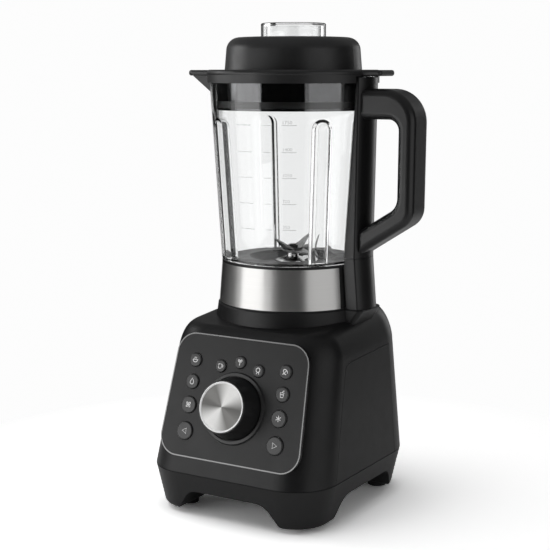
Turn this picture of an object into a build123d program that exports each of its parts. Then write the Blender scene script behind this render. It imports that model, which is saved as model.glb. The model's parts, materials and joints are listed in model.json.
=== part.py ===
from build123d import *
import os
from math import atan2, cos, hypot, radians, sin, tan

os.makedirs("parts", exist_ok=True)

# Countertop blender. Millimetres, +Z up, front faces -Y, handle on +X, spout on -X.
# The origin is on the table, under the middle of the whole outline.

# Fits
slip = 0.3
running = 0.05
seat = 0.1

# Base shell, measured from the jar's axis
base_half = 93.0
base_front = 124.5
base_back = 88.0
seam_z = 42.0
wall_height = 107.0
shoulder_front = 24.0
shoulder_back = 36.0
front_lean = 17.0
side_lean = 4.2
back_lean = 3.5
front_corner = 41.0
front_corner_top = 32.0
back_corner = 52.0
back_corner_top = 48.0
side_inset = 18.0
back_inset = 16.0
front_inset = 8.0
corner_draw = 0.6
shell_wall = 3.2
front_wall = 6.0
seam_line_half = 0.35
seam_line_depth = 0.8

# Tray, legs and feet
tray_lean = 13.0
tray_floor = 4.0
arch_z = 25.0
leg_z = 4.0
arch_half = 40.0
arch_front = 58.0
arch_back = 30.0
arch_slope = 0.7
arch_round = 16.0
leg_round = 5.0
leg_inner_round = 6.0
foot_r = 9.0
foot_sink = 2.0
foot_margin = 1.3
vent_r = 30.0
vent_count = 12
vent_width = 4.0
vent_length = 16.0

# Screws that hold the tray to the housing
screw_front = 36.0
screw_back = 12.0
screw_r = 2.0
screw_head_r = 3.4
screw_head = 3.0
screw_length = 30.0
boss_r = 8.0
boss_sink = 1.5
boss_cap = 8.0

# Side covers
cover_t = 1.6
cover_gap = 0.4
cover_margin_front = 4.3
cover_margin_back = 0.8
cover_round = 10.0

# Control panel, measured up the sloping front from the seam
panel_low = 16.0
panel_margin = 9.0
panel_low_half = 74.0
panel_top_half = 68.0
panel_corner = 18.0
panel_t = 3.0
trim_width = 1.2
trim_proud = 0.25
board_depth = 14.0
board_t = 1.6
board_margin = 10.0
post_r = 4.0

# Knob
knob_along = 65.0
knob_out = 22.0
knob_base_r = 28.5
knob_tip_r = 23.8
knob_edge = 0.8
knob_lift = 0.6
knob_shaft_r = 3.0
knob_rim = 1.2
face_t = 2.0
face_dish = 0.8
bezel_gap = 1.0
bezel_width = 3.5
bezel_t = 2.2
encoder_width = 13.0
encoder_t = 6.0

# Buttons
button_x = 48.0
row_1_along = 104.0
row_2_along = 84.0
row_3_along = 62.5
row_4_along = 38.5
row_1_r = 6.4
row_2_r = 6.9
row_3_r = 7.9
row_4_r = 8.4
button_rows = [
    (row_1_along, row_1_r),
    (row_2_along, row_2_r),
    (row_3_along, row_3_r),
    (row_4_along, row_4_r),
]
middle_x = 20.0
middle_along = 101.5
middle_top_along = 107.0
middle_r = 5.8
button_proud = 1.6
button_dome = 1.2
button_travel = 1.0
button_flange = 0.9
button_flange_t = 1.2
switch_width = 6.0
switch_t = 3.5
plunger_r = 1.6
plunger_t = 1.5
stem_r = 2.0

# Collar that the jar stands in
collar_ledge = 1.0
collar_flare = 2.0
collar_rise = 3.0
collar_height = 30.0
collar_wall = 4.0
collar_round = 1.5
well_depth = 14.0
well_floor = 4.0
well_hole_gap = 4.0
tongue_drop = 15.0
tongue_root = 10.0

# Motor mount
mount_t = 4.0
mount_margin = 19.0
mount_front = 58.0
mount_back = 52.0
mount_corner = 12.0
mount_hole_r = 27.0
hanger_side = 7.0
hanger_end = 10.0
hanger_r = 5.0

# Motor
damper_r = 6.0
damper_t = 7.0
bracket_t = 7.0
bracket_half = 40.0
bracket_arm = 16.0
bracket_leg = 14.0
stator_half = 42.0
stator_corner = 12.0
stator_height = 48.0
stator_bore_r = 25.0
coil_wall = 2.0
coil_t = 8.0
coil_half = 33.0
coil_bar = 9.0
coil_overhang = 8.0
bearing_r = 11.0
shaft_r = 4.0
armature_gap = 0.7
commutator_r = 13.0
commutator_t = 11.0
brush_width = 6.0
brush_height = 8.0
brush_length = 15.0
brush_wall = 2.0
fan_r = 36.0
fan_t = 12.0
fan_blades = 9
fan_drop = 5.0
fan_plate = 2.0
fan_hub_r = 9.0

# Coupling between motor and blades
coupling_r = 14.0
coupling_root_r = 10.0
coupling_lobes = 6
coupling_lobe_r = 3.4
coupling_flange_r = 17.0
coupling_flange_t = 4.0
coupling_rise = 6.0
coupling_height = 18.0
coupling_head = 1.0
coupling_grip = 9.0
driven_wall = 6.0
driven_top = 7.0
driven_gap = 0.5

# Power board, reed switch and cord gland
power_half = 44.0
power_front = 48.0
power_depth = 26.0
power_lift = 7.0
capacitor_r = 8.0
capacitor_t = 22.0
sink_length = 24.0
sink_width = 12.0
sink_height = 24.0
reed_margin = 11.0
reed_half = 9.0
reed_width = 6.0
reed_t = 5.0
gland_x = 40.0
gland_rise = 18.0
gland_r = 8.0
gland_flange_r = 10.5
gland_bore_r = 4.0
gland_out = 3.0
gland_in = 8.0

# Jar base and band
band_low_r = 70.0
band_top_r = 67.2
band_foot = 1.0
band_height = 37.5
band_t = 1.0
band_gap_angle = 21.0
jar_lip = 2.5
base_skin = 3.0
spigot_step = 8.5
spigot_gap = 1.5
spigot_wall = 3.0
spigot_drop = 10.0
hub_gap = 6.0
web_t = 4.0

# Jar floor, dished in the middle, and its gasket
floor_t = 4.0
floor_rise = 2.0
dish_depth = 6.5
dish_r = 30.0
dish_slope = 1.8
gasket_t = 1.2
gasket_width = 4.5

# Glass jar
glass_step = 0.2
glass_flare = 11.0
glass_height = 170.5
glass_wall = 4.6
glass_round = 2.0
rib_angles = [51.0, -39.0, 141.0, -129.0]
rib_r = 9.5
rib_in = 1.0
rib_drop = 47.0
flute_r = 6.0
flute_out = 3.0
spout_out = 20.0
spout_drop = 17.5
spout_half = 10.0
spout_wall = 3.5
spout_floor = 7.0
spout_lip = 3.0

# Handle
column_half = 19.0
column_seam_rise = 6.0
column_seam_gap = 0.4
column_top_gap = 1.0
column_low_out = 7.9
column_top_out = 0.1
column_foot_out = 10.8
column_bulge = 5.5
column_edge = 2.5
grip_reach = 53.1
grip_t = 16.5
grip_half = 17.0
grip_edge = 6.5
grip_lean = 1.0
hand_lean = 0.6
arm_top_drop = 11.0
arm_top_t = 27.0
arm_low_rise = 36.5
arm_low_t = 12.1
arm_root_low = 2.0
arm_root_high = 24.6
grip_top_round = 30.0
grip_low_round = 20.0
hand_top_round = 10.0
hand_low_round = 15.0
magnet_r = 4.0
magnet_t = 5.0

# Blade unit
housing_r = 13.0
housing_head_r = 17.0
housing_head = 3.0
housing_draft = 0.8
housing_neck_r = 5.8
housing_neck = 9.5
housing_length = 30.0
nut_r = 20.0
nut_t = 7.0
blade_bearing_r = 9.5
blade_bearing_t = 6.0
spindle_r = 3.2
spindle_tip = 0.8
upper_reach = 23.0
upper_bend = 34.0
upper_turn = 80.0
lower_reach = 28.0
lower_bend = -10.0
lower_turn = 170.0
blade_half = 7.0
blade_tip_half = 2.5
blade_t = 1.6
blade_flat = 6.0
spacer_t = 1.0
spacer_r = 5.0
blade_nut_r = 5.5
blade_nut_t = 3.0

# Lid
flange_over = 2.1
flange_t = 6.0
flange_round = 2.6
skirt_drop = 6.0
skirt_inset = 0.3
ear_step = 0.3
dome_step = 16.5
dome_draft = 2.5
dome_height = 29.5
dome_round = 12.0
lid_wall = 3.0
plug_depth = 30.5
plug_gap = 0.6
seal_rise = 2.0
seal_height = 6.0
seal_depth = 1.6
seal_proud = 0.3
beak_over = 13.6
beak_root_half = 19.0
beak_round = 8.0
cheek_gap = 1.0
cheek_t = 2.2
cheek_drop = 19.0
tab_out = 17.5
tab_half = 15.0
tab_round = 3.0

# Measuring cap
cap_r = 30.2
cap_wall = 4.3
cap_rise = 13.0
cap_top_t = 3.0
cap_step = 2.1
cap_neck_drop = 24.0
cap_round = 1.5
neck_wall = 3.0

# Heights, stacked from the table up
shoulder_z = seam_z + wall_height
top_front_z = shoulder_z + shoulder_front
top_back_z = shoulder_z + shoulder_back
floor_z = arch_z + tray_floor
power_z = floor_z + power_lift
gland_z = seam_z + gland_rise
collar_z = top_back_z + collar_rise
well_z = collar_z - well_depth
mount_top = collar_z - collar_height
mount_z = mount_top - mount_t
coupling_z = well_z + coupling_rise
band_low_z = collar_z + band_foot
band_top_z = band_low_z + band_height
jar_lip_z = band_top_z + jar_lip
rim_z = jar_lip_z + glass_height
rib_top_z = rim_z - rib_drop
spout_root_z = rim_z - spout_drop
column_seam_z = jar_lip_z + column_seam_rise
column_top_z = rim_z - column_top_gap
arm_top_z = rim_z - arm_top_drop
arm_under_z = arm_top_z - arm_top_t
arm_low_out_z = column_seam_z + arm_low_rise
arm_low_in_z = arm_low_out_z + arm_low_t
plug_low_z = rim_z - plug_depth
seal_low_z = plug_low_z + seal_rise
skirt_low_z = rim_z - skirt_drop
cheek_root_z = rim_z - cheek_drop
flange_z = rim_z + flange_t
dome_top_z = flange_z + dome_height
cap_low_z = dome_top_z - cap_neck_drop
cap_top_z = dome_top_z + cap_rise

# Radii and reaches, each from the piece that it meets
glass_low_r = band_top_r + glass_step
glass_top_r = glass_low_r + glass_flare


def glass_radius(height):
    """The glass wall's outer radius at a height."""
    return glass_low_r + glass_flare * (height - jar_lip_z) / glass_height


collar_top_r = band_low_r + collar_ledge
collar_r = collar_top_r + collar_flare
collar_in_r = collar_top_r - collar_wall
reed_x = collar_in_r - reed_margin
spigot_r = band_low_r - spigot_step
well_r = spigot_r + spigot_gap
driven_r = coupling_r + driven_wall
well_hole_r = driven_r + well_hole_gap
hub_r = driven_r + hub_gap
floor_r = band_top_r - base_skin
coil_in = stator_bore_r + coil_wall
face_r = knob_tip_r - knob_rim
bezel_inner_r = knob_base_r + bezel_gap
bezel_r = bezel_inner_r + bezel_width
column_low_x = glass_radius(column_seam_z) + column_low_out
column_top_x = glass_top_r + column_top_out
column_foot_x = (band_low_r + band_top_r) / 2 + column_foot_out
column_in = glass_low_r / 2
grip_out = glass_top_r + grip_reach
grip_in = grip_out - grip_t
plug_r = glass_radius(plug_low_z) - glass_wall - plug_gap
flange_r = glass_top_r + flange_over
skirt_r = flange_r - skirt_inset
skirt_in_r = glass_top_r + slip
dome_low_r = flange_r - dome_step
dome_top_r = dome_low_r - dome_draft
spout_reach = glass_top_r + spout_out
beak_reach = spout_reach + beak_over
beak_half = spout_half + cheek_gap + cheek_t
tab_reach = flange_r + tab_out
cap_neck_r = cap_r - cap_step
neck_hole_r = cap_neck_r + slip
mount_half = base_half - mount_margin

# Where the jar's axis stands, so that the origin is under the middle of the outline
lean_sin = sin(radians(front_lean))
lean_cos = cos(radians(front_lean))
panel_top = (top_front_z - seam_z) / lean_cos - panel_margin
front_reach = base_front - (knob_along - knob_tip_r) * lean_sin + knob_out * lean_cos
back_reach = base_back - (gland_z - seam_z) * tan(radians(back_lean)) + gland_out
axis_x = (beak_reach - grip_out) / 2
axis_y = (front_reach - back_reach) / 2
drive_axis = Axis((axis_x, axis_y, 0), (0, 0, 1))
upright = Plane((axis_x, axis_y, 0), x_dir=(1, 0, 0), z_dir=(0, -1, 0))
sideways = Plane((axis_x, axis_y, 0), x_dir=(0, 1, 0), z_dir=(1, 0, 0))


def level(height):
    """The horizontal plane at a height, centred on the jar's axis."""
    return Plane((axis_x, axis_y, height))


# Outlines of the base
def wall_sizes(front_z, middle_z, back_z, inside):
    """Half width, front, back and corner radii of the leaning walls."""
    skin = shell_wall if inside else 0.0
    front_skin = front_wall / lean_cos if inside else 0.0
    share = (middle_z - seam_z) / (top_back_z - seam_z)
    half = base_half - (middle_z - seam_z) * tan(radians(side_lean)) - skin
    front = base_front - (front_z - seam_z) * tan(radians(front_lean)) - front_skin
    back = base_back - (back_z - seam_z) * tan(radians(back_lean)) - skin
    front_r = front_corner + (front_corner_top - front_corner) * share - skin
    back_r = back_corner + (back_corner_top - back_corner) * share - skin
    return half, front, back, front_r, back_r


def outline(front_z, back_z, half, front, back, front_r, back_r):
    """A rounded outline whose front edge is at front_z and whose back edge is at back_z."""
    tilt = atan2(back_z - front_z, front + back)
    depth = hypot(back_z - front_z, front + back)
    place = Plane((axis_x, axis_y - front, front_z), x_dir=(1, 0, 0), z_dir=(0, -sin(tilt), cos(tilt)))
    with BuildSketch(place, mode=Mode.PRIVATE) as plan:
        with BuildLine():
            Polyline((-half, 0), (half, 0), (half, depth), (-half, depth), close=True)
        make_face()
        fillet(plan.vertices().group_by(Axis.Y)[0], front_r)
        fillet(plan.vertices().group_by(Axis.Y)[-1], back_r)
    return plan.sketch


def wall_outline(height, inside=False):
    """The base's outline where its walls are straight."""
    return outline(height, height, *wall_sizes(height, height, height, inside))


def shoulder_outline(turn, inside=False):
    """The base's outline on the rounded shoulder, at a turn from 0 to 90 degrees."""
    skin = shell_wall if inside else 0.0
    rise = sin(radians(turn))
    draw = 1 - cos(radians(turn))
    front_z = shoulder_z + (top_front_z - skin - shoulder_z) * rise
    back_z = shoulder_z + (top_back_z - skin - shoulder_z) * rise
    sizes = wall_sizes(front_z, (front_z + back_z) / 2, back_z, inside)
    half, front, back, front_r, back_r = sizes
    half = half - side_inset * draw
    front = front - front_inset * draw**2
    back = back - back_inset * draw
    front_r = front_r - side_inset * draw * corner_draw
    back_r = back_r - back_inset * draw * corner_draw
    return outline(front_z, back_z, half, front, back, front_r, back_r)


def tray_outline(height, skin=0.0):
    """The tray's outline, which draws in below the seam."""
    draw = (seam_z - height) * tan(radians(tray_lean)) + skin
    half = base_half - draw
    return outline(
        height, height, half, base_front - draw, base_back - draw, front_corner - draw, back_corner - draw
    )


def arch_outline(place, before, after, reach):
    """The space under an arch on an upright plane, rounded at its top and at the legs beside it."""
    with BuildSketch(place, mode=Mode.PRIVATE) as plan:
        with BuildLine():
            Polyline(
                (-reach, 0),
                (reach, 0),
                (reach, leg_z),
                (after + arch_flare, leg_z),
                (after, arch_z),
                (-before, arch_z),
                (-before - arch_flare, leg_z),
                (-reach, leg_z),
                close=True,
            )
        make_face()
        fillet(plan.vertices().group_by(Axis.Y)[-1], arch_round)
        for leg_side in (after + arch_flare, -before - arch_flare):
            fillet(plan.vertices().sort_by_distance((leg_side, leg_z))[0], leg_inner_round)
    return plan.sketch


def tongue_outline(height, reach):
    """The plan of the collar's tongue on +X, which carries the foot of the handle's column."""
    half = column_half + column_edge
    with BuildSketch(level(height), mode=Mode.PRIVATE) as plan:
        with Locations((reach / 2, 0)):
            Rectangle(reach, 2 * half)
        fillet(plan.vertices().group_by(Axis.X)[-1], 2 * column_edge)
    return plan.sketch


panel_normal = (0, -lean_cos, lean_sin)
panel_face = Plane((axis_x, axis_y - base_front, seam_z), x_dir=(1, 0, 0), z_dir=panel_normal)


def panel_outline(out, grow=0.0):
    """The control panel's outline on its sloping plane, moved outwards by out."""
    with BuildSketch(panel_face.offset(out), mode=Mode.PRIVATE) as plan:
        with BuildLine():
            Polyline(
                (-panel_low_half, panel_low),
                (panel_low_half, panel_low),
                (panel_top_half, panel_top),
                (-panel_top_half, panel_top),
                close=True,
            )
        make_face()
        fillet(plan.vertices(), panel_corner)
        offset(amount=grow)
    return plan.sketch


# Buttons: name, place across, place up the slope, radius
buttons = []
for row, (along, radius) in enumerate(button_rows, start=1):
    buttons.append((f"left_button_{row}", -button_x, along, radius))
    buttons.append((f"right_button_{row}", button_x, along, radius))
buttons.append(("middle_button_1", -middle_x, middle_along, middle_r))
buttons.append(("middle_button_2", 0.0, middle_top_along, middle_r))
buttons.append(("middle_button_3", middle_x, middle_along, middle_r))

arch_flare = (arch_z - leg_z) * arch_slope
foot_in = arch_flare + foot_r + foot_margin
foot_x = arch_half + foot_in
foot_places = [(x, y) for x in (-foot_x, foot_x) for y in (-arch_front - foot_in, arch_back + foot_in)]
screw_x = base_half - shell_wall - boss_r + boss_sink
screw_tip_z = arch_z + screw_head + screw_length
screw_places = [(x, y) for x in (-screw_x, screw_x) for y in (-screw_front, screw_back)]
hanger_x = mount_half - hanger_side
hanger_front = mount_front - hanger_end
hanger_back = mount_back - hanger_end
hanger_places = [(x, y) for x in (-hanger_x, hanger_x) for y in (-hanger_front, hanger_back)]
tongue_reach = column_foot_x + column_bulge + slip
tongue_low = tongue_reach - tongue_root
board_half = button_x + board_margin
board_low = button_rows[-1][0] - board_margin
board_high = middle_top_along + board_margin
board_posts = [(x, y) for x in (-board_half + post_r, board_half - post_r) for y in (board_low, board_high)]
power_places = [
    (x, y)
    for x in (-power_half + post_r, power_half - post_r)
    for y in (power_front + post_r, power_front + power_depth - post_r)
]

# Seam line: a shallow groove round the base, half in the tray and half in the housing
with BuildPart() as seam_line:
    extrude(tray_outline(seam_z, -seam_line_depth), amount=seam_line_half, both=True)
    extrude(tray_outline(seam_z, seam_line_depth), amount=seam_line_half, both=True, mode=Mode.SUBTRACT)

# Bottom tray: floor, wall up to the seam and four corner legs
with BuildPart() as tray_hollow:
    loft([tray_outline(floor_z, shell_wall), tray_outline(seam_z, shell_wall)], ruled=True)
    with BuildSketch(level(floor_z)):
        with Locations(*screw_places):
            Circle(boss_r)
    extrude(amount=seam_z - floor_z, mode=Mode.SUBTRACT)
    with BuildSketch(level(floor_z)):
        with Locations(*power_places):
            Circle(post_r)
    extrude(amount=power_lift, mode=Mode.SUBTRACT)

with BuildPart() as bottom_tray:
    loft([tray_outline(leg_z), tray_outline(seam_z)], ruled=True)
    fillet(bottom_tray.faces().sort_by(Axis.Z)[0].edges(), leg_round)
    add(tray_hollow.part, mode=Mode.SUBTRACT)
    front_arch = arch_outline(upright, arch_half, arch_half, base_half)
    extrude(front_arch, amount=2 * base_front, both=True, mode=Mode.SUBTRACT)
    side_arch = arch_outline(sideways, arch_front, arch_back, base_front)
    extrude(side_arch, amount=2 * base_half, both=True, mode=Mode.SUBTRACT)
    add(seam_line.part, mode=Mode.SUBTRACT)
    with BuildSketch(level(arch_z)):
        with Locations(*screw_places):
            Circle(screw_head_r + slip)
    extrude(amount=screw_head, mode=Mode.SUBTRACT)
    with BuildSketch(level(arch_z)):
        with Locations(*screw_places):
            Circle(screw_r + seat)
    extrude(amount=seam_z - arch_z, mode=Mode.SUBTRACT)
    with BuildSketch(level(arch_z)):
        with PolarLocations(vent_r, vent_count):
            SlotOverall(vent_length, vent_width)
    extrude(amount=tray_floor, mode=Mode.SUBTRACT)
    with BuildSketch(level(leg_z)):
        with Locations(*foot_places):
            Circle(foot_r + seat)
    extrude(amount=foot_sink, mode=Mode.SUBTRACT)
bottom_tray.part.label = "bottom_tray"
export_step(bottom_tray.part, "parts/bottom_tray.step")

# Rubber feet
with BuildPart() as rubber_feet:
    with BuildSketch(level(0)):
        with Locations(*foot_places):
            Circle(foot_r)
    extrude(amount=leg_z + foot_sink)
rubber_feet.part.label = "rubber_feet"
export_step(rubber_feet.part, "parts/rubber_feet.step")

# Screws from the tray up into the housing
with BuildPart() as base_screws:
    with BuildSketch(level(arch_z)):
        with Locations(*screw_places):
            Circle(screw_head_r)
    extrude(amount=screw_head)
    with BuildSketch(level(arch_z + screw_head)):
        with Locations(*screw_places):
            Circle(screw_r)
    extrude(amount=screw_length)
base_screws.part.label = "base_screws"
export_step(base_screws.part, "parts/base_screws.step")

# Side covers lie in the flat of each side wall, from the front corner to the back corner
cover_front = base_front - front_corner
cover_back = base_back - back_corner
cover_top = wall_height / cos(radians(side_lean))
cover_top_front = cover_top - cover_margin_front
cover_top_back = cover_top - cover_margin_back
side_face = Plane(
    (axis_x + base_half, axis_y, seam_z),
    x_dir=(0, 1, 0),
    z_dir=(cos(radians(side_lean)), 0, sin(radians(side_lean))),
)


def cover_outline(grow):
    """The right side cover's outline on the side wall."""
    with BuildSketch(side_face, mode=Mode.PRIVATE) as plan:
        with BuildLine():
            Polyline(
                (-cover_front, 0),
                (cover_back, 0),
                (cover_back, cover_top_back),
                (-cover_front + cover_top_front * tan(radians(front_lean)), cover_top_front),
                close=True,
            )
        make_face()
        fillet(plan.vertices().group_by(Axis.Y)[-2], cover_round)
        offset(amount=grow)
    return plan.sketch


mirror_plane = Plane((axis_x, 0, 0), x_dir=(0, 1, 0), z_dir=(1, 0, 0))
with BuildPart() as cover_pocket:
    extrude(cover_outline(0), amount=-cover_t)
    mirror(about=mirror_plane)
with BuildPart() as side_panels:
    extrude(cover_outline(-cover_gap), amount=-cover_t)
    mirror(about=mirror_plane)
side_panels.part.label = "side_panels"
export_step(side_panels.part, "parts/side_panels.step")

# Base housing: leaning walls, rounded shoulder and the seats of the panel, covers, collar and gland
gland_plane = Plane(
    (axis_x - gland_x, axis_y + base_back - (gland_z - seam_z) * tan(radians(back_lean)), gland_z),
    x_dir=(-1, 0, 0),
    z_dir=(0, cos(radians(back_lean)), sin(radians(back_lean))),
)
shoulder_turns = [0, 18, 36, 54, 72, 90]
with BuildPart() as base_hollow:
    loft([wall_outline(seam_z, True), wall_outline(shoulder_z, True)], ruled=True)
    loft([shoulder_outline(turn, True) for turn in shoulder_turns])
    with BuildSketch(level(mount_top)):
        with Locations(*hanger_places):
            Circle(hanger_r)
    extrude(amount=top_back_z - mount_top, mode=Mode.SUBTRACT)
    with BuildSketch(level(seam_z)):
        with Locations(*screw_places):
            Circle(boss_r)
    extrude(amount=screw_tip_z + boss_cap - seam_z, mode=Mode.SUBTRACT)
    with BuildSketch(panel_face.offset(-board_depth)):
        with Locations(*board_posts):
            Circle(post_r)
    extrude(amount=board_depth, mode=Mode.SUBTRACT)

tongue_plans = [tongue_outline(collar_z - tongue_drop, tongue_low), tongue_outline(collar_z, tongue_reach)]
with BuildPart() as collar_opening:
    with BuildSketch(level(mount_top)):
        Circle(collar_r + seat)
    extrude(amount=collar_z - mount_top)
    loft(tongue_plans, ruled=True)

with BuildPart() as base_housing:
    loft([wall_outline(seam_z), wall_outline(shoulder_z)], ruled=True)
    loft([shoulder_outline(turn) for turn in shoulder_turns])
    add(base_hollow.part, mode=Mode.SUBTRACT)
    with BuildSketch(level(seam_z)):
        with Locations(*screw_places):
            Circle(screw_r + seat)
    extrude(amount=screw_tip_z + slip - seam_z, mode=Mode.SUBTRACT)
    add(collar_opening.part, mode=Mode.SUBTRACT)
    extrude(panel_outline(0, trim_width), amount=-panel_t, mode=Mode.SUBTRACT)
    extrude(panel_outline(0, trim_width), amount=panel_t, mode=Mode.SUBTRACT)
    with BuildSketch(panel_face):
        for name, across, along, radius in buttons:
            with Locations((across, along)):
                Circle(radius + button_flange + slip)
        with Locations((0, knob_along)):
            Circle(knob_shaft_r + 2 * slip)
    extrude(amount=-front_wall, mode=Mode.SUBTRACT)
    add(cover_pocket.part, mode=Mode.SUBTRACT)
    add(seam_line.part, mode=Mode.SUBTRACT)
    with BuildSketch(gland_plane):
        Circle(gland_r + seat)
    extrude(amount=-2 * shell_wall, mode=Mode.SUBTRACT)
base_housing.part.label = "base_housing"
export_step(base_housing.part, "parts/base_housing.step")

# Cord gland in the back wall
with BuildPart() as cord_gland:
    with BuildSketch(gland_plane):
        Circle(gland_flange_r)
    extrude(amount=gland_out)
    with BuildSketch(gland_plane):
        Circle(gland_r)
    extrude(amount=-gland_in)
    with BuildSketch(gland_plane.offset(gland_out)):
        Circle(gland_bore_r)
    extrude(amount=-gland_out - gland_in, mode=Mode.SUBTRACT)
cord_gland.part.label = "cord_gland"
export_step(cord_gland.part, "parts/cord_gland.step")

# Control panel and its bright outline
with BuildPart() as control_panel:
    extrude(panel_outline(0, -seat), amount=-panel_t)
    with BuildSketch(panel_face):
        for name, across, along, radius in buttons:
            with Locations((across, along)):
                Circle(radius + slip)
        with Locations((0, knob_along)):
            Circle(knob_shaft_r + slip)
    extrude(amount=-panel_t, mode=Mode.SUBTRACT)
control_panel.part.label = "control_panel"
export_step(control_panel.part, "parts/control_panel.step")

with BuildPart() as panel_trim:
    extrude(panel_outline(-panel_t, trim_width - seat), amount=panel_t + trim_proud)
    extrude(panel_outline(-panel_t), amount=panel_t + trim_proud, mode=Mode.SUBTRACT)
panel_trim.part.label = "panel_trim"
export_step(panel_trim.part, "parts/panel_trim.step")

# Control board behind the panel, with its switches and the knob's encoder
with BuildPart() as control_board:
    with BuildSketch(panel_face.offset(-board_depth)):
        with Locations((0, (board_low + board_high) / 2)):
            RectangleRounded(2 * board_half, board_high - board_low + 2 * post_r, post_r)
    extrude(amount=-board_t)
control_board.part.label = "control_board"
export_step(control_board.part, "parts/control_board.step")

with BuildPart() as tact_switches:
    with BuildSketch(panel_face.offset(-board_depth)):
        for name, across, along, radius in buttons:
            with Locations((across, along)):
                Rectangle(switch_width, switch_width)
    extrude(amount=switch_t)
    with BuildSketch(panel_face.offset(-board_depth + switch_t)):
        for name, across, along, radius in buttons:
            with Locations((across, along)):
                Circle(plunger_r)
    extrude(amount=plunger_t)
tact_switches.part.label = "tact_switches"
export_step(tact_switches.part, "parts/tact_switches.step")

with BuildPart() as rotary_encoder:
    with BuildSketch(panel_face.offset(-board_depth)):
        with Locations((0, knob_along)):
            Rectangle(encoder_width, encoder_width)
            Circle(knob_shaft_r + running, mode=Mode.SUBTRACT)
    extrude(amount=encoder_t)
rotary_encoder.part.label = "rotary_encoder"
export_step(rotary_encoder.part, "parts/rotary_encoder.step")

# Buttons: a domed cap, a flange under the panel and a stem towards the switch
stem_low = board_depth - switch_t - plunger_t - button_travel - slip
for name, across, along, radius in buttons:
    with BuildPart() as button:
        with BuildSketch(panel_face.offset(-panel_t)):
            with Locations((across, along)):
                Circle(radius)
        extrude(amount=panel_t + button_proud)
        fillet(button.edges().sort_by(Axis((0, 0, 0), panel_normal))[-1], button_dome)
        with BuildSketch(panel_face.offset(-panel_t)):
            with Locations((across, along)):
                Circle(radius + button_flange)
        extrude(amount=-button_flange_t)
        with BuildSketch(panel_face.offset(-panel_t)):
            with Locations((across, along)):
                Circle(stem_r)
        extrude(amount=-(stem_low - panel_t))
    button.part.label = name
    export_step(button.part, f"parts/{name}.step")

# Knob, its face and the ring around it
knob_centre = panel_face.from_local_coords((0, knob_along, 0))
knob_axis = Axis(knob_centre, panel_normal)
knob_side = Plane(knob_centre, x_dir=(1, 0, 0), z_dir=(0, -lean_sin, -lean_cos))
with BuildPart() as knob_bezel:
    with BuildSketch(knob_side):
        with BuildLine():
            Polyline(
                (bezel_inner_r, 0),
                (bezel_r, 0),
                (bezel_r - bezel_t / 2, bezel_t),
                (bezel_inner_r, bezel_t),
                close=True,
            )
        make_face()
    revolve(axis=knob_axis)
knob_bezel.part.label = "knob_bezel"
export_step(knob_bezel.part, "parts/knob_bezel.step")

shaft_end = -(board_depth - running)
with BuildPart() as knob_body:
    with BuildSketch(knob_side) as knob_profile:
        with BuildLine():
            Polyline(
                (0, shaft_end),
                (knob_shaft_r, shaft_end),
                (knob_shaft_r, knob_lift),
                (knob_base_r, knob_lift),
                (knob_tip_r, knob_out),
                (face_r + seat, knob_out),
                (face_r + seat, knob_out - face_t),
                (0, knob_out - face_t),
                close=True,
            )
        make_face()
        fillet(knob_profile.vertices().sort_by_distance((knob_tip_r, knob_out))[0], knob_edge)
    revolve(axis=knob_axis)
knob_body.part.label = "knob_body"
export_step(knob_body.part, "parts/knob_body.step")

with BuildPart() as knob_face:
    with BuildSketch(knob_side):
        with BuildLine():
            Polyline(
                (0, knob_out - face_t),
                (face_r, knob_out - face_t),
                (face_r, knob_out),
                (face_r - face_dish, knob_out),
                (face_r - 2 * face_dish, knob_out - face_dish),
                (0, knob_out - face_dish),
                close=True,
            )
        make_face()
    revolve(axis=knob_axis)
knob_face.part.label = "knob_face"
export_step(knob_face.part, "parts/knob_face.step")

# Collar: a ring with a well for the jar's spigot and a hole for the coupling
with BuildPart() as collar_ring:
    with BuildSketch(upright):
        with BuildLine():
            Polyline(
                (0, mount_top),
                (collar_r, mount_top),
                (collar_r, top_front_z),
                (collar_top_r, collar_z),
                (0, collar_z),
                close=True,
            )
        make_face()
    revolve(axis=drive_axis)
    loft(tongue_plans, ruled=True)
    fillet(collar_ring.faces().sort_by(Axis.Z)[-1].edges(), collar_round)
    with BuildSketch(level(collar_z)):
        Circle(well_r)
    extrude(amount=well_z - collar_z, mode=Mode.SUBTRACT)
    with BuildSketch(level(mount_top)):
        Circle(collar_in_r)
    extrude(amount=well_z - well_floor - mount_top, mode=Mode.SUBTRACT)
    with BuildSketch(level(well_z)):
        Circle(well_hole_r)
    extrude(amount=-well_floor, mode=Mode.SUBTRACT)
collar_ring.part.label = "collar_ring"
export_step(collar_ring.part, "parts/collar_ring.step")

# Motor mount: the plate under the shoulder that carries collar and motor
damper_reach = bracket_half - damper_r
damper_places = [(damper_reach, 0), (-damper_reach, 0), (0, damper_reach), (0, -damper_reach)]
with BuildPart() as motor_mount:
    with BuildSketch(level(mount_z)):
        with Locations((0, (mount_back - mount_front) / 2)):
            RectangleRounded(2 * mount_half, mount_front + mount_back, mount_corner)
        Circle(mount_hole_r, mode=Mode.SUBTRACT)
    extrude(amount=mount_t)
motor_mount.part.label = "motor_mount"
export_step(motor_mount.part, "parts/motor_mount.step")

with BuildPart() as motor_dampers:
    with BuildSketch(level(mount_z)):
        with Locations(*damper_places):
            Circle(damper_r)
    extrude(amount=-damper_t)
motor_dampers.part.label = "motor_dampers"
export_step(motor_dampers.part, "parts/motor_dampers.step")

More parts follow.
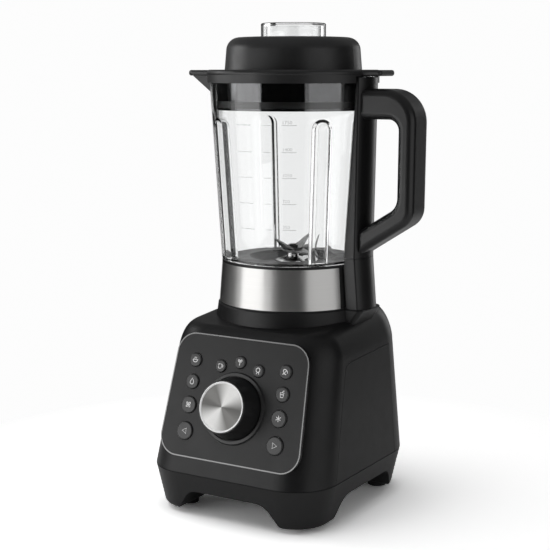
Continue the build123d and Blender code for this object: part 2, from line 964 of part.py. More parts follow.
# Motor brackets: a cross of two bars, a bearing bore and four legs on the stator
upper_top = mount_z - damper_t
upper_low = upper_top - bracket_t
stator_top = upper_low - bracket_leg
stator_low = stator_top - stator_height
lower_top = stator_low - bracket_leg
lower_low = lower_top - bracket_t
leg_places = [(0, damper_reach), (0, -damper_reach)]
with BuildPart() as upper_motor_bracket:
    with BuildSketch(level(upper_low)):
        Rectangle(2 * bracket_half, bracket_arm)
        Rectangle(bracket_arm, 2 * bracket_half)
        Circle(bearing_r + bracket_t)
        Circle(bearing_r + running, mode=Mode.SUBTRACT)
    extrude(amount=bracket_t)
    with BuildSketch(level(stator_top)):
        with Locations(*leg_places):
            Circle(damper_r)
    extrude(amount=bracket_leg)
upper_motor_bracket.part.label = "upper_motor_bracket"
export_step(upper_motor_bracket.part, "parts/upper_motor_bracket.step")

brush_in = commutator_r + slip
brush_z = lower_top + (stator_low - lower_top) / 2
holder_y = brush_in + brush_length / 2 + brush_wall
with BuildPart() as lower_motor_bracket:
    with BuildSketch(level(lower_low)):
        Rectangle(2 * bracket_half, bracket_arm)
        Rectangle(bracket_arm, 2 * bracket_half)
        Circle(bearing_r + bracket_t)
        Circle(bearing_r + running, mode=Mode.SUBTRACT)
    extrude(amount=bracket_t)
    with BuildSketch(level(lower_top)):
        with Locations(*leg_places):
            Circle(damper_r)
    extrude(amount=bracket_leg)
    with BuildSketch(level(lower_top)):
        with Locations((0, holder_y), (0, -holder_y)):
            Rectangle(brush_width + 2 * brush_wall, brush_length)
    extrude(amount=brush_z - lower_top + brush_height / 2 + brush_wall)
    with BuildSketch(level(brush_z - brush_height / 2 - seat)):
        Rectangle(brush_width + 2 * seat, 2 * (brush_in + brush_length + seat))
    extrude(amount=brush_height + 2 * seat, mode=Mode.SUBTRACT)
lower_motor_bracket.part.label = "lower_motor_bracket"
export_step(lower_motor_bracket.part, "parts/lower_motor_bracket.step")

with BuildPart() as carbon_brushes:
    with BuildSketch(level(brush_z - brush_height / 2 - seat)):
        with Locations((0, brush_in + brush_length / 2), (0, -brush_in - brush_length / 2)):
            Rectangle(brush_width, brush_length)
    extrude(amount=brush_height)
carbon_brushes.part.label = "carbon_brushes"
export_step(carbon_brushes.part, "parts/carbon_brushes.step")

with BuildPart() as motor_bearings:
    for height in (upper_low, lower_low):
        with BuildSketch(level(height)):
            Circle(bearing_r)
            Circle(shaft_r + running, mode=Mode.SUBTRACT)
        extrude(amount=bracket_t)
motor_bearings.part.label = "motor_bearings"
export_step(motor_bearings.part, "parts/motor_bearings.step")


# Stator and field coils
def coil_frame(grow):
    """The two upright loops of the field coils."""
    coil_middle = (stator_low + stator_top) / 2
    coil_height = stator_height + 2 * coil_overhang
    side = Plane((axis_x, axis_y, coil_middle), x_dir=(0, 1, 0), z_dir=(1, 0, 0))
    with BuildPart(mode=Mode.PRIVATE) as frame:
        for start, amount in ((coil_in - grow, coil_t + 2 * grow), (-coil_in + grow, -coil_t - 2 * grow)):
            with BuildSketch(side.offset(start)):
                Rectangle(2 * (coil_half + grow), coil_height)
                Rectangle(2 * (coil_half - coil_bar - grow), stator_height, mode=Mode.SUBTRACT)
            extrude(amount=amount)
    return frame.part


with BuildPart() as stator_core:
    with BuildSketch(level(stator_low)):
        RectangleRounded(2 * stator_half, 2 * stator_half, stator_corner)
        Circle(stator_bore_r, mode=Mode.SUBTRACT)
    extrude(amount=stator_height)
    add(coil_frame(seat), mode=Mode.SUBTRACT)
stator_core.part.label = "stator_core"
export_step(stator_core.part, "parts/stator_core.step")

with BuildPart() as field_coils:
    add(coil_frame(0))
field_coils.part.label = "field_coils"
export_step(field_coils.part, "parts/field_coils.step")

# Rotor
shaft_top = coupling_z - coupling_head
fan_top = lower_low - fan_drop
shaft_low = fan_top - fan_t
with BuildPart() as motor_shaft:
    with BuildSketch(level(shaft_low)):
        Circle(shaft_r)
    extrude(amount=shaft_top - shaft_low)
motor_shaft.part.label = "motor_shaft"
export_step(motor_shaft.part, "parts/motor_shaft.step")

with BuildPart() as armature:
    with BuildSketch(level(stator_low)):
        Circle(stator_bore_r - armature_gap)
        Circle(shaft_r + seat, mode=Mode.SUBTRACT)
    extrude(amount=stator_height)
armature.part.label = "armature"
export_step(armature.part, "parts/armature.step")

with BuildPart() as commutator:
    with BuildSketch(level(stator_low)):
        Circle(commutator_r)
        Circle(shaft_r + seat, mode=Mode.SUBTRACT)
    extrude(amount=-commutator_t)
commutator.part.label = "commutator"
export_step(commutator.part, "parts/commutator.step")

with BuildPart() as cooling_fan:
    with BuildSketch(level(fan_top)):
        Circle(fan_r)
        Circle(shaft_r + seat, mode=Mode.SUBTRACT)
    extrude(amount=-fan_plate)
    with BuildSketch(level(fan_top)):
        Circle(fan_hub_r)
        Circle(shaft_r + seat, mode=Mode.SUBTRACT)
    extrude(amount=-fan_t)
    with BuildSketch(level(fan_top)):
        with PolarLocations((fan_r + fan_hub_r) / 2 - fan_plate, fan_blades):
            Rectangle(fan_r - fan_hub_r, fan_plate)
    extrude(amount=-fan_t)
cooling_fan.part.label = "cooling_fan"
export_step(cooling_fan.part, "parts/cooling_fan.step")


# Coupling: a lobed driver on the motor shaft in a lobed socket under the jar
def lobed_outline(height, grow=0.0):
    """A round core with lobes."""
    with BuildSketch(level(height), mode=Mode.PRIVATE) as plan:
        Circle(coupling_root_r + grow)
        with PolarLocations(coupling_r - coupling_lobe_r, coupling_lobes):
            Circle(coupling_lobe_r + grow)
    return plan.sketch


coupling_low = coupling_z - coupling_height
with BuildPart() as drive_coupling:
    with BuildSketch(level(coupling_low)):
        Circle(coupling_flange_r)
    extrude(amount=coupling_flange_t)
    extrude(lobed_outline(coupling_low), amount=coupling_height)
    with BuildSketch(level(coupling_low)):
        Circle(shaft_r + seat)
    extrude(amount=coupling_height - coupling_head, mode=Mode.SUBTRACT)
drive_coupling.part.label = "drive_coupling"
export_step(drive_coupling.part, "parts/drive_coupling.step")

driven_low = coupling_z - coupling_grip
driven_high = coupling_z + coupling_head + driven_top
with BuildPart() as driven_coupling:
    with BuildSketch(level(driven_low)):
        Circle(driven_r)
    extrude(amount=driven_high - driven_low)
    extrude(lobed_outline(driven_low, driven_gap), amount=coupling_grip + coupling_head, mode=Mode.SUBTRACT)
    with BuildSketch(level(driven_high - driven_top)):
        Circle(spindle_r + seat)
    extrude(amount=driven_top, mode=Mode.SUBTRACT)
driven_coupling.part.label = "driven_coupling"
export_step(driven_coupling.part, "parts/driven_coupling.step")

# Power board on the tray's posts
with BuildPart() as power_board:
    with BuildSketch(level(power_z)):
        with Locations((0, power_front + power_depth / 2)):
            Rectangle(2 * power_half, power_depth)
    extrude(amount=board_t)
    with BuildSketch(level(power_z + board_t)):
        with Locations((-power_half / 2, power_front + power_depth / 2)):
            Circle(capacitor_r)
    extrude(amount=capacitor_t)
    with BuildSketch(level(power_z + board_t)):
        with Locations((power_half / 2, power_front + power_depth / 2)):
            Rectangle(sink_length, sink_width)
    extrude(amount=sink_height)
power_board.part.label = "power_board"
export_step(power_board.part, "parts/power_board.step")

# Reed switch on the mount, inside the collar and near the magnet in the handle's foot
with BuildPart() as reed_switch:
    with BuildSketch(level(mount_top)):
        with Locations((reed_x, 0)):
            Rectangle(reed_width, 2 * reed_half)
    extrude(amount=reed_t)
reed_switch.part.label = "reed_switch"
export_step(reed_switch.part, "parts/reed_switch.step")


# Jar base: a cup with a bottom web, a spigot for the well and a seat for band, floor and glass
def band_radius(height):
    """The steel band's outer radius at a height."""
    share = (height - band_low_z) / (band_top_z - band_low_z)
    return band_low_r + (band_top_r - band_low_r) * share


floor_top_z = jar_lip_z - gasket_t
floor_low_z = floor_top_z - floor_t
web_top = collar_z + web_t
with BuildPart() as jar_base:
    with BuildSketch(upright):
        with BuildLine():
            Polyline(
                (hub_r, collar_z),
                (spigot_r - spigot_wall, collar_z),
                (spigot_r - spigot_wall, collar_z - spigot_drop),
                (spigot_r, collar_z - spigot_drop),
                (spigot_r, collar_z),
                (band_radius(collar_z), collar_z),
                (band_low_r, band_low_z),
                (band_low_r - band_t - seat, band_low_z),
                (band_top_r - band_t - seat, band_top_z),
                (band_top_r, band_top_z),
                (band_top_r, jar_lip_z),
                (floor_r + seat, jar_lip_z),
                (floor_r + seat, floor_low_z),
                (floor_r - base_skin, floor_low_z),
                (floor_r - base_skin, web_top),
                (hub_r, web_top),
                close=True,
            )
        make_face()
    revolve(axis=drive_axis)
jar_base.part.label = "jar_base"
export_step(jar_base.part, "parts/jar_base.step")

with BuildPart() as steel_band:
    with BuildSketch(upright):
        with BuildLine():
            Polyline(
                (band_low_r - band_t, band_low_z),
                (band_low_r, band_low_z),
                (band_top_r, band_top_z),
                (band_top_r - band_t, band_top_z),
                close=True,
            )
        make_face()
    revolve(axis=drive_axis)
    with BuildSketch(level(band_low_z)):
        with BuildLine():
            wide = 2 * band_low_r
            side = wide * tan(radians(band_gap_angle))
            Polyline((0, 0), (wide, -side), (wide, side), close=True)
        make_face()
    extrude(amount=band_top_z - band_low_z, mode=Mode.SUBTRACT)
steel_band.part.label = "steel_band"
export_step(steel_band.part, "parts/steel_band.step")


# Glass jar
def rib_bar(radius, out, angle):
    """An upright bar with a round top that follows the wall at an angle round the jar."""
    low_r = glass_radius(jar_lip_z) - glass_wall + out
    top_r = glass_radius(rib_top_z) - glass_wall + out
    turn = radians(angle)
    start = Vector(axis_x + low_r * cos(turn), axis_y + low_r * sin(turn), jar_lip_z)
    finish = Vector(axis_x + top_r * cos(turn), axis_y + top_r * sin(turn), rib_top_z)
    with BuildPart(mode=Mode.PRIVATE) as bar:
        with BuildSketch(Plane(start, x_dir=(-sin(turn), cos(turn), 0), z_dir=finish - start)):
            Circle(radius)
        extrude(amount=(finish - start).length)
        with Locations(finish):
            Sphere(radius)
    return bar.part


with BuildPart() as jar_hollow:
    with BuildSketch(upright):
        with BuildLine():
            Polyline(
                (0, jar_lip_z),
                (glass_low_r - glass_wall, jar_lip_z),
                (glass_top_r - glass_wall, rim_z),
                (0, rim_z),
                close=True,
            )
        make_face()
    revolve(axis=drive_axis)
    for angle in rib_angles:
        add(rib_bar(rib_r, rib_in, angle), mode=Mode.SUBTRACT)
    with BuildSketch(level(jar_lip_z)):
        Circle(glass_low_r - glass_wall)
    extrude(amount=floor_rise + slip)

with BuildPart() as glass_jar:
    with BuildSketch(upright) as glass_side:
        with BuildLine():
            Polyline(
                (0, jar_lip_z),
                (glass_low_r, jar_lip_z),
                (glass_top_r, rim_z),
                (0, rim_z),
                close=True,
            )
        make_face()
        fillet(glass_side.vertices().group_by(Axis.Y)[0].sort_by(Axis.X)[-1], glass_round)
    revolve(axis=drive_axis)
    with BuildSketch(upright):
        with BuildLine():
            Polyline(
                (0, spout_root_z),
                (-glass_radius(spout_root_z), spout_root_z),
                (-spout_reach, rim_z - spout_lip),
                (-spout_reach, rim_z),
                (0, rim_z),
                close=True,
            )
        make_face()
    extrude(amount=spout_half, both=True)
    add(jar_hollow.part, mode=Mode.SUBTRACT)
    with BuildSketch(upright):
        with BuildLine():
            Polyline(
                (0, spout_root_z + spout_floor),
                (-glass_radius(spout_root_z) + spout_wall, spout_root_z + spout_floor),
                (-spout_reach + spout_wall, rim_z),
                (0, rim_z),
                close=True,
            )
        make_face()
    extrude(amount=spout_half - spout_wall, both=True, mode=Mode.SUBTRACT)
    for angle in rib_angles:
        add(rib_bar(flute_r, glass_wall + flute_out, angle), mode=Mode.SUBTRACT)
glass_jar.part.label = "glass_jar"
export_step(glass_jar.part, "parts/glass_jar.step")

# Jar floor and the gasket that the glass stands on
rim_top_z = jar_lip_z + floor_rise
rim_r = floor_r - gasket_width
dish_z = rim_top_z - dish_depth
dish_wide = dish_r + dish_slope * dish_depth
dish_under = dish_z - floor_t
dish_under_wide = dish_r + dish_slope * (floor_low_z - dish_under)
with BuildPart() as jar_floor:
    with BuildSketch(upright):
        with BuildLine():
            Polyline(
                (housing_r + seat, dish_under),
                (dish_r, dish_under),
                (dish_under_wide, floor_low_z),
                (floor_r, floor_low_z),
                (floor_r, floor_top_z),
                (rim_r, floor_top_z),
                (rim_r, rim_top_z),
                (dish_wide, rim_top_z),
                (dish_r, dish_z),
                (housing_r + seat, dish_z),
                close=True,
            )
        make_face()
    revolve(axis=drive_axis)
jar_floor.part.label = "jar_floor"
export_step(jar_floor.part, "parts/jar_floor.step")

with BuildPart() as floor_gasket:
    with BuildSketch(level(floor_top_z)):
        Circle(floor_r)
        Circle(rim_r + seat, mode=Mode.SUBTRACT)
    extrude(amount=gasket_t)
floor_gasket.part.label = "floor_gasket"
export_step(floor_gasket.part, "parts/floor_gasket.step")

# Blade unit: housing through the floor, bearings, nut, spindle and blades
head_z = dish_z
housing_low_z = head_z - housing_length
neck_z = head_z + housing_neck
lower_blade_z = neck_z + slip + spacer_t
upper_blade_z = lower_blade_z + blade_t
blade_nut_z = upper_blade_z + blade_t
spindle_low_z = coupling_z + coupling_head
spindle_top_z = blade_nut_z + blade_nut_t + spindle_tip
with BuildPart() as blade_bearing_housing:
    with BuildSketch(upright):
        with BuildLine():
            Polyline(
                (spindle_r + slip, housing_low_z),
                (housing_r, housing_low_z),
                (housing_r, head_z),
                (housing_head_r, head_z),
                (housing_head_r - housing_draft, head_z + housing_head),
                (housing_neck_r, head_z + 2 * housing_head),
                (housing_neck_r - housing_draft, neck_z),
                (spindle_r + slip, neck_z),
                close=True,
            )
        make_face()
    revolve(axis=drive_axis)
    for height in (housing_low_z, head_z - blade_bearing_t):
        with BuildSketch(level(height)):
            Circle(blade_bearing_r + running)
        extrude(amount=blade_bearing_t, mode=Mode.SUBTRACT)
blade_bearing_housing.part.label = "blade_bearing_housing"
export_step(blade_bearing_housing.part, "parts/blade_bearing_housing.step")

with BuildPart() as blade_bearings:
    for height in (housing_low_z, head_z - blade_bearing_t):
        with BuildSketch(level(height)):
            Circle(blade_bearing_r)
            Circle(spindle_r + running, mode=Mode.SUBTRACT)
        extrude(amount=blade_bearing_t)
blade_bearings.part.label = "blade_bearings"
export_step(blade_bearings.part, "parts/blade_bearings.step")

with BuildPart() as housing_nut:
    with BuildSketch(level(dish_under)):
        RegularPolygon(nut_r, 6)
        Circle(housing_r + seat, mode=Mode.SUBTRACT)
    extrude(amount=-nut_t)
housing_nut.part.label = "housing_nut"
export_step(housing_nut.part, "parts/housing_nut.step")

with BuildPart() as blade_spindle:
    with BuildSketch(level(spindle_low_z)):
        Circle(spindle_r)
    extrude(amount=spindle_top_z - spindle_low_z)
    with BuildSketch(level(neck_z + slip)):
        Circle(spacer_r)
    extrude(amount=spacer_t)
blade_spindle.part.label = "blade_spindle"
export_step(blade_spindle.part, "parts/blade_spindle.step")


def blade_pair(height, reach, bend, angle):
    """A bent two-armed blade on the spindle, turned about the axis."""
    turn = radians(angle)
    side = Plane((axis_x, axis_y, height), x_dir=(cos(turn), sin(turn), 0), z_dir=(sin(turn), -cos(turn), 0))
    rise = (reach - blade_flat) * tan(radians(bend))
    with BuildPart(mode=Mode.PRIVATE) as pair:
        with BuildSketch(side):
            with BuildLine():
                Polyline(
                    (-reach, rise),
                    (-blade_flat, 0),
                    (blade_flat, 0),
                    (reach, rise),
                    (reach, rise + blade_t),
                    (blade_flat, blade_t),
                    (-blade_flat, blade_t),
                    (-reach, rise + blade_t),
                    close=True,
                )
            make_face()
        extrude(amount=blade_half, both=True)
        top = Plane((axis_x, axis_y, height), x_dir=(cos(turn), sin(turn), 0))
        with BuildSketch(top):
            with BuildLine():
                Polyline(
                    (-reach, blade_tip_half),
                    (-blade_flat, -blade_half),
                    (blade_flat, -blade_half),
                    (reach, -blade_tip_half),
                    (blade_flat, blade_half),
                    (-blade_flat, blade_half),
                    close=True,
                )
            make_face()
            Circle(spindle_r + seat, mode=Mode.SUBTRACT)
        extrude(amount=reach, both=True, mode=Mode.INTERSECT)
    return pair.part


with BuildPart() as lower_blades:
    add(blade_pair(lower_blade_z, lower_reach, lower_bend, lower_turn))
lower_blades.part.label = "lower_blades"
export_step(lower_blades.part, "parts/lower_blades.step")

with BuildPart() as upper_blades:
    add(blade_pair(upper_blade_z, upper_reach, upper_bend, upper_turn))
upper_blades.part.label = "upper_blades"
export_step(upper_blades.part, "parts/upper_blades.step")

with BuildPart() as blade_nut:
    with BuildSketch(level(blade_nut_z)):
        RegularPolygon(blade_nut_r, 6)
        Circle(spindle_r + seat, mode=Mode.SUBTRACT)
    extrude(amount=blade_nut_t)
blade_nut.part.label = "blade_nut"
export_step(blade_nut.part, "parts/blade_nut.step")


# Handle: a column on the glass with a grip in front of it
def column_outline(height, corner_x, inner_x):
    """The column's plan: flat sides and a bulged outer face."""
    with BuildSketch(level(height), mode=Mode.PRIVATE) as plan:
        with BuildLine():
            Polyline(
                (corner_x, column_half),
                (inner_x, column_half),
                (inner_x, -column_half),
                (corner_x, -column_half),
            )
            ThreePointArc((corner_x, -column_half), (corner_x + column_bulge, 0), (corner_x, column_half))
        make_face()
        fillet(plan.vertices().group_by(Axis.X)[-1], column_edge)
    return plan.sketch


grip_corners = [
    ((grip_out, arm_top_z), grip_top_round),
    ((grip_out - grip_lean, arm_low_out_z), grip_low_round),
    ((grip_in - hand_lean, arm_low_in_z), hand_low_round),
    ((grip_in, arm_under_z), hand_top_round),
]
with BuildPart() as grip_bar:
    with BuildSketch(upright) as grip_side:
        with BuildLine():
            Polyline(
                (column_low_x, arm_top_z),
                grip_corners[0][0],
                grip_corners[1][0],
                (column_low_x, column_seam_z + arm_root_low),
                (column_low_x, column_seam_z + arm_root_high),
                grip_corners[2][0],
                grip_corners[3][0],
                (column_low_x, arm_under_z),
                close=True,
            )
        make_face()
        for corner, radius in grip_corners:
            fillet(grip_side.vertices().sort_by_distance(corner)[0], radius)
    extrude(amount=grip_half, both=True)
    fillet(grip_bar.faces().filter_by(Axis.Y).edges(), grip_edge)

with BuildPart() as handle:
    loft(
        [
            column_outline(column_seam_z, column_low_x, column_in),
            column_outline(column_top_z, column_top_x, column_in),
        ],
        ruled=True,
    )
    add(grip_bar.part)
    with BuildSketch(upright):
        with BuildLine():
            Polyline(
                (0, column_seam_z),
                (glass_radius(column_seam_z) + seat, column_seam_z),
                (glass_top_r + seat, rim_z),
                (0, rim_z),
                close=True,
            )
        make_face()
    revolve(axis=drive_axis, mode=Mode.SUBTRACT)
handle.part.label = "handle"
export_step(handle.part, "parts/handle.step")

with BuildPart() as handle_socket:
    loft(
        [
            column_outline(collar_z, column_foot_x, column_in),
            column_outline(column_seam_z - column_seam_gap, column_low_x, column_in),
        ],
        ruled=True,
    )
    with BuildSketch(upright):
        with BuildLine():
            Polyline(
                (0, collar_z),
                (band_low_r + seat, collar_z),
                (band_low_r + seat, band_low_z),
                (band_top_r + seat, band_top_z),
                (glass_radius(column_seam_z) + seat, jar_lip_z),
                (glass_radius(column_seam_z) + seat, column_seam_z),
                (0, column_seam_z),
                close=True,
            )
        make_face()
    revolve(axis=drive_axis, mode=Mode.SUBTRACT)
    with BuildSketch(level(collar_z)):
        with Locations((column_foot_x, 0)):
            Circle(magnet_r + seat)
    extrude(amount=magnet_t, mode=Mode.SUBTRACT)
handle_socket.part.label = "handle_socket"
export_step(handle_socket.part, "parts/handle_socket.step")

with BuildPart() as interlock_magnet:
    with BuildSketch(level(collar_z)):
        with Locations((column_foot_x, 0)):
            Circle(magnet_r)
    extrude(amount=magnet_t)
interlock_magnet.part.label = "interlock_magnet"
export_step(interlock_magnet.part, "parts/interlock_magnet.step")

# Lid: plug, flange, skirt, dome, beak over the spout and a tab over the handle
flange_middle_z = rim_z + flange_t / 2
with BuildPart() as lid_skirt:
    with BuildSketch(level(skirt_low_z)):
        Circle(skirt_r)
        Circle(skirt_in_r, mode=Mode.SUBTRACT)
    extrude(amount=flange_middle_z - skirt_low_z)
    with BuildSketch(level(skirt_low_z)):
        with Locations((skirt_r / 2, 0)):
            Rectangle(skirt_r, 2 * (column_half + column_edge + slip))
        with Locations((-skirt_r / 2, 0)):
            Rectangle(skirt_r, 2 * (spout_half + cheek_gap))
    extrude(amount=skirt_drop, mode=Mode.SUBTRACT)

with BuildPart() as lid_ears:
    with BuildSketch(level(rim_z + ear_step)) as ears_plan:
        with BuildLine():
            Polyline(
                (-plug_r, -beak_root_half),
                (-beak_reach, -beak_half),
                (-beak_reach, beak_half),
                (-plug_r, beak_root_half),
                close=True,
            )
        make_face()
        fillet(ears_plan.vertices().group_by(Axis.X)[0], beak_round)
        with Locations(((plug_r + tab_reach) / 2, 0)):
            Rectangle(tab_reach - plug_r, 2 * tab_half)
        fillet(ears_plan.vertices().group_by(Axis.X)[-1], tab_round)
    extrude(amount=flange_t - 2 * ear_step)
    fillet(lid_ears.faces().filter_by(Axis.Z).edges(), flange_round - ear_step)

with BuildPart() as lid:
    with BuildSketch(upright) as lid_side:
        with BuildLine():
            Polyline(
                (plug_r - lid_wall, plug_low_z),
                (plug_r, plug_low_z),
                (plug_r, rim_z),
                (flange_r, rim_z),
                (flange_r, flange_z),
                (dome_low_r, flange_z),
                (dome_top_r, dome_top_z),
                (neck_hole_r, dome_top_z),
                (neck_hole_r, dome_top_z - cap_neck_drop / 2),
                (neck_hole_r + neck_wall, dome_top_z - cap_neck_drop / 2),
                (neck_hole_r + neck_wall, dome_top_z - lid_wall),
                (dome_top_r - lid_wall, dome_top_z - lid_wall),
                (dome_low_r - lid_wall, flange_z),
                (dome_low_r - lid_wall, rim_z),
                (plug_r - lid_wall, rim_z),
                close=True,
            )
        make_face()
        fillet(lid_side.vertices().sort_by_distance((dome_top_r, dome_top_z))[0], dome_round)
        inner_corner = (dome_top_r - lid_wall, dome_top_z - lid_wall)
        fillet(lid_side.vertices().sort_by_distance(inner_corner)[0], dome_round - lid_wall)
        fillet(lid_side.vertices().sort_by_distance((flange_r, rim_z))[0], flange_round)
        fillet(lid_side.vertices().sort_by_distance((flange_r, flange_z))[0], flange_round)
    revolve(axis=drive_axis)
    add(lid_ears.part)
    add(lid_skirt.part)
    for side in (-1, 1):
        with BuildSketch(upright.offset(side * beak_half)):
            with BuildLine():
                Polyline(
                    (-skirt_in_r, flange_middle_z),
                    (-skirt_in_r, cheek_root_z),
                    (-beak_reach + beak_round, rim_z),
                    (-beak_reach + beak_round, flange_middle_z),
                    close=True,
                )
            make_face()
        extrude(amount=-side * cheek_t)
    with BuildSketch(upright):
        with BuildLine():
            Polyline(
                (plug_r + seal_proud, seal_low_z - seat),
                (plug_r - seal_depth - seat, seal_low_z - seat),
                (plug_r - seal_depth - seat, seal_low_z + seal_height + seat),
                (plug_r + seal_proud, seal_low_z + seal_height + seat),
                close=True,
            )
        make_face()
    revolve(axis=drive_axis, mode=Mode.SUBTRACT)
lid.part.label = "lid"
export_step(lid.part, "parts/lid.step")

with BuildPart() as lid_seal:
    with BuildSketch(upright):
        with Locations((plug_r + (seal_proud - seal_depth) / 2, seal_low_z + seal_height / 2)):
            Rectangle(seal_depth + seal_proud, seal_height)
    revolve(axis=drive_axis)
lid_seal.part.label = "lid_seal"
export_step(lid_seal.part, "parts/lid_seal.step")

# Measuring cap: a clear cup that hangs in the lid, closed at the top
with BuildPart() as measuring_cap:
    with BuildSketch(upright) as cap_side:
        with BuildLine():
            Polyline(
                (0, cap_top_z - cap_top_t),
                (cap_r - cap_wall, cap_top_z - cap_top_t),
                (cap_r - cap_wall, cap_low_z),
                (cap_neck_r, cap_low_z),
                (cap_neck_r, dome_top_z),
                (cap_r, dome_top_z),
                (cap_r, cap_top_z),
                (0, cap_top_z),
                close=True,
            )
        make_face()
        tops = cap_side.vertices().group_by(Axis.Y)[-1]
        fillet(tops.sort_by(Axis.X)[-1], cap_round)
    revolve(axis=drive_axis)
measuring_cap.part.label = "measuring_cap"
export_step(measuring_cap.part, "parts/measuring_cap.step")
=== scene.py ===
import json
from math import cos, pi, radians, sin

import bpy
from mathutils import Matrix, Vector


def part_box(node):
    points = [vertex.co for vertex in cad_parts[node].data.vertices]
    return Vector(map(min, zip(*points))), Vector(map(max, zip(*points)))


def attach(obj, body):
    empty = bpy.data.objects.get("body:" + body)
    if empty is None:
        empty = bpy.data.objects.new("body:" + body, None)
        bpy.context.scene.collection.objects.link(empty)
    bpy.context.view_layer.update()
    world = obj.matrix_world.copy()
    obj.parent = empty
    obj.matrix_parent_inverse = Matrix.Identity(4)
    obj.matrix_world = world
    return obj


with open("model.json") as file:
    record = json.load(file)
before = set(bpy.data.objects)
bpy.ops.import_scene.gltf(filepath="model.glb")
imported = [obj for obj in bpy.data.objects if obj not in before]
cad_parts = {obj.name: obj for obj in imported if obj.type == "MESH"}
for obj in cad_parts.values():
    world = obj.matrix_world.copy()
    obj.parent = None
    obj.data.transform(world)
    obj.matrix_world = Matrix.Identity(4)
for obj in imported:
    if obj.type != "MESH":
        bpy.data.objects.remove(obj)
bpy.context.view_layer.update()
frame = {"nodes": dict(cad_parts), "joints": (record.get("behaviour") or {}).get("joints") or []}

# Countertop blender. Metres, +Z up, the control panel faces -Y and the handle is on +X.
nodes = frame["nodes"]
joints = {joint["name"]: joint for joint in frame["joints"]}

# The jar's axis is the middle of the measuring cap
cap_low, cap_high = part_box("measuring_cap")
AXIS = Vector(((cap_low.x + cap_high.x) / 2, (cap_low.y + cap_high.y) / 2, 0))
UP = Vector((0, 0, 1))

# The control panel's plane, from the knob's joint
KNOB = Vector(joints["knob_turn"]["pos_m"])
PANEL_OUT = Vector(joints["knob_turn"]["axis"]).normalized()
PANEL_RIGHT = Vector((1, 0, 0))
PANEL_UP = PANEL_OUT.cross(PANEL_RIGHT)

# The glass wall's outside, from its lower end to its rim
GLASS_LOW, GLASS_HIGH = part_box("glass_jar")
GLASS_LOW_R = 0.0674
GLASS_TOP_R = 0.0784
RIM_Z = GLASS_HIGH.z

# The camera, fitted to the photograph, and the turn from +X that faces it, in degrees
CAMERA_PLACE = Vector((0.59655, -1.0237, 0.4052))
CAMERA_FORWARD = Vector((-0.5074, 0.8471, -0.1582))
CAMERA_LENS = 83.77
CAMERA_SENSOR = 36.0
VIEW_TURN = -59.1


# Scene helpers
def add_object(name, data):
    """A new object in the scene."""
    made = bpy.data.objects.new(name, data)
    bpy.context.scene.collection.objects.link(made)
    return made


def look_along(item, direction):
    """Turns a camera or a lamp to look along a direction."""
    item.rotation_mode = "QUATERNION"
    item.rotation_quaternion = direction.to_track_quat("-Z", "Y")


camera = add_object("camera", bpy.data.cameras.new("camera"))
camera.data.lens = CAMERA_LENS
camera.data.sensor_width = CAMERA_SENSOR
camera.location = CAMERA_PLACE
look_along(camera, CAMERA_FORWARD)
bpy.context.scene.camera = camera
bpy.context.scene.view_settings.view_transform = "Standard"

# Most values of a noise lie between the first two
NOISE_LOW = 0.3
NOISE_HIGH = 0.7
NOISE_DETAIL = 2.0


# Node helpers
def new_material(name):
    """A material with its node tree and its shader."""
    made = bpy.data.materials.new(name)
    made.use_nodes = True
    return made, made.node_tree, made.node_tree.nodes["Principled BSDF"]


def set_values(shader, **values):
    """Sets the shader's own sockets, named with underscores for spaces."""
    for name, value in values.items():
        shader.inputs[name.replace("_", " ")].default_value = value


def fill(tree, socket, given):
    """Links a socket to another one, or sets its fixed value."""
    if isinstance(given, bpy.types.NodeSocket):
        tree.links.new(given, socket)
    else:
        socket.default_value = given


def place_vector(tree, scale=(1, 1, 1)):
    """The point in the row frame at rest, with each axis scaled."""
    where = tree.nodes.new("ShaderNodeTexCoord")
    mapping = tree.nodes.new("ShaderNodeMapping")
    mapping.inputs["Scale"].default_value = scale
    tree.links.new(where.outputs["Object"], mapping.inputs["Vector"])
    return mapping.outputs["Vector"]


def noise(tree, vector, scale, detail=NOISE_DETAIL):
    """A noise value from 0 to 1."""
    made = tree.nodes.new("ShaderNodeTexNoise")
    made.inputs["Scale"].default_value = scale
    made.inputs["Detail"].default_value = detail
    tree.links.new(vector, made.inputs["Vector"])
    return made.outputs["Fac"]


def spread(tree, value, low, high, start=NOISE_LOW, end=NOISE_HIGH):
    """A value mapped from start..end to low..high."""
    made = tree.nodes.new("ShaderNodeMapRange")
    for name, number in (("From Min", start), ("From Max", end), ("To Min", low), ("To Max", high)):
        made.inputs[name].default_value = number
    tree.links.new(value, made.inputs["Value"])
    return made.outputs["Result"]


def tint(tree, value, dark, light, start=NOISE_LOW, end=NOISE_HIGH):
    """A colour between two by a value."""
    made = tree.nodes.new("ShaderNodeValToRGB")
    made.color_ramp.elements[0].position = start
    made.color_ramp.elements[0].color = (*dark, 1)
    made.color_ramp.elements[1].position = end
    made.color_ramp.elements[1].color = (*light, 1)
    tree.links.new(value, made.inputs["Fac"])
    return made.outputs["Color"]


def add_bump(tree, shader, height, strength, distance):
    """Raises the surface by a height value."""
    made = tree.nodes.new("ShaderNodeBump")
    made.inputs["Strength"].default_value = strength
    made.inputs["Distance"].default_value = distance
    tree.links.new(height, made.inputs["Height"])
    tree.links.new(made.outputs["Normal"], shader.inputs["Normal"])


def number_math(tree, operation, first, second):
    """An operation on two number sockets."""
    made = tree.nodes.new("ShaderNodeMath")
    made.operation = operation
    tree.links.new(first, made.inputs[0])
    tree.links.new(second, made.inputs[1])
    return made.outputs["Value"]


def vector_math(tree, operation, first, second=None):
    """A vector operation on sockets or fixed vectors."""
    made = tree.nodes.new("ShaderNodeVectorMath")
    made.operation = operation
    fill(tree, made.inputs[0], first)
    if second is not None:
        fill(tree, made.inputs[1], second)
    return made.outputs["Value"] if operation in ("LENGTH", "DOT_PRODUCT") else made.outputs["Vector"]


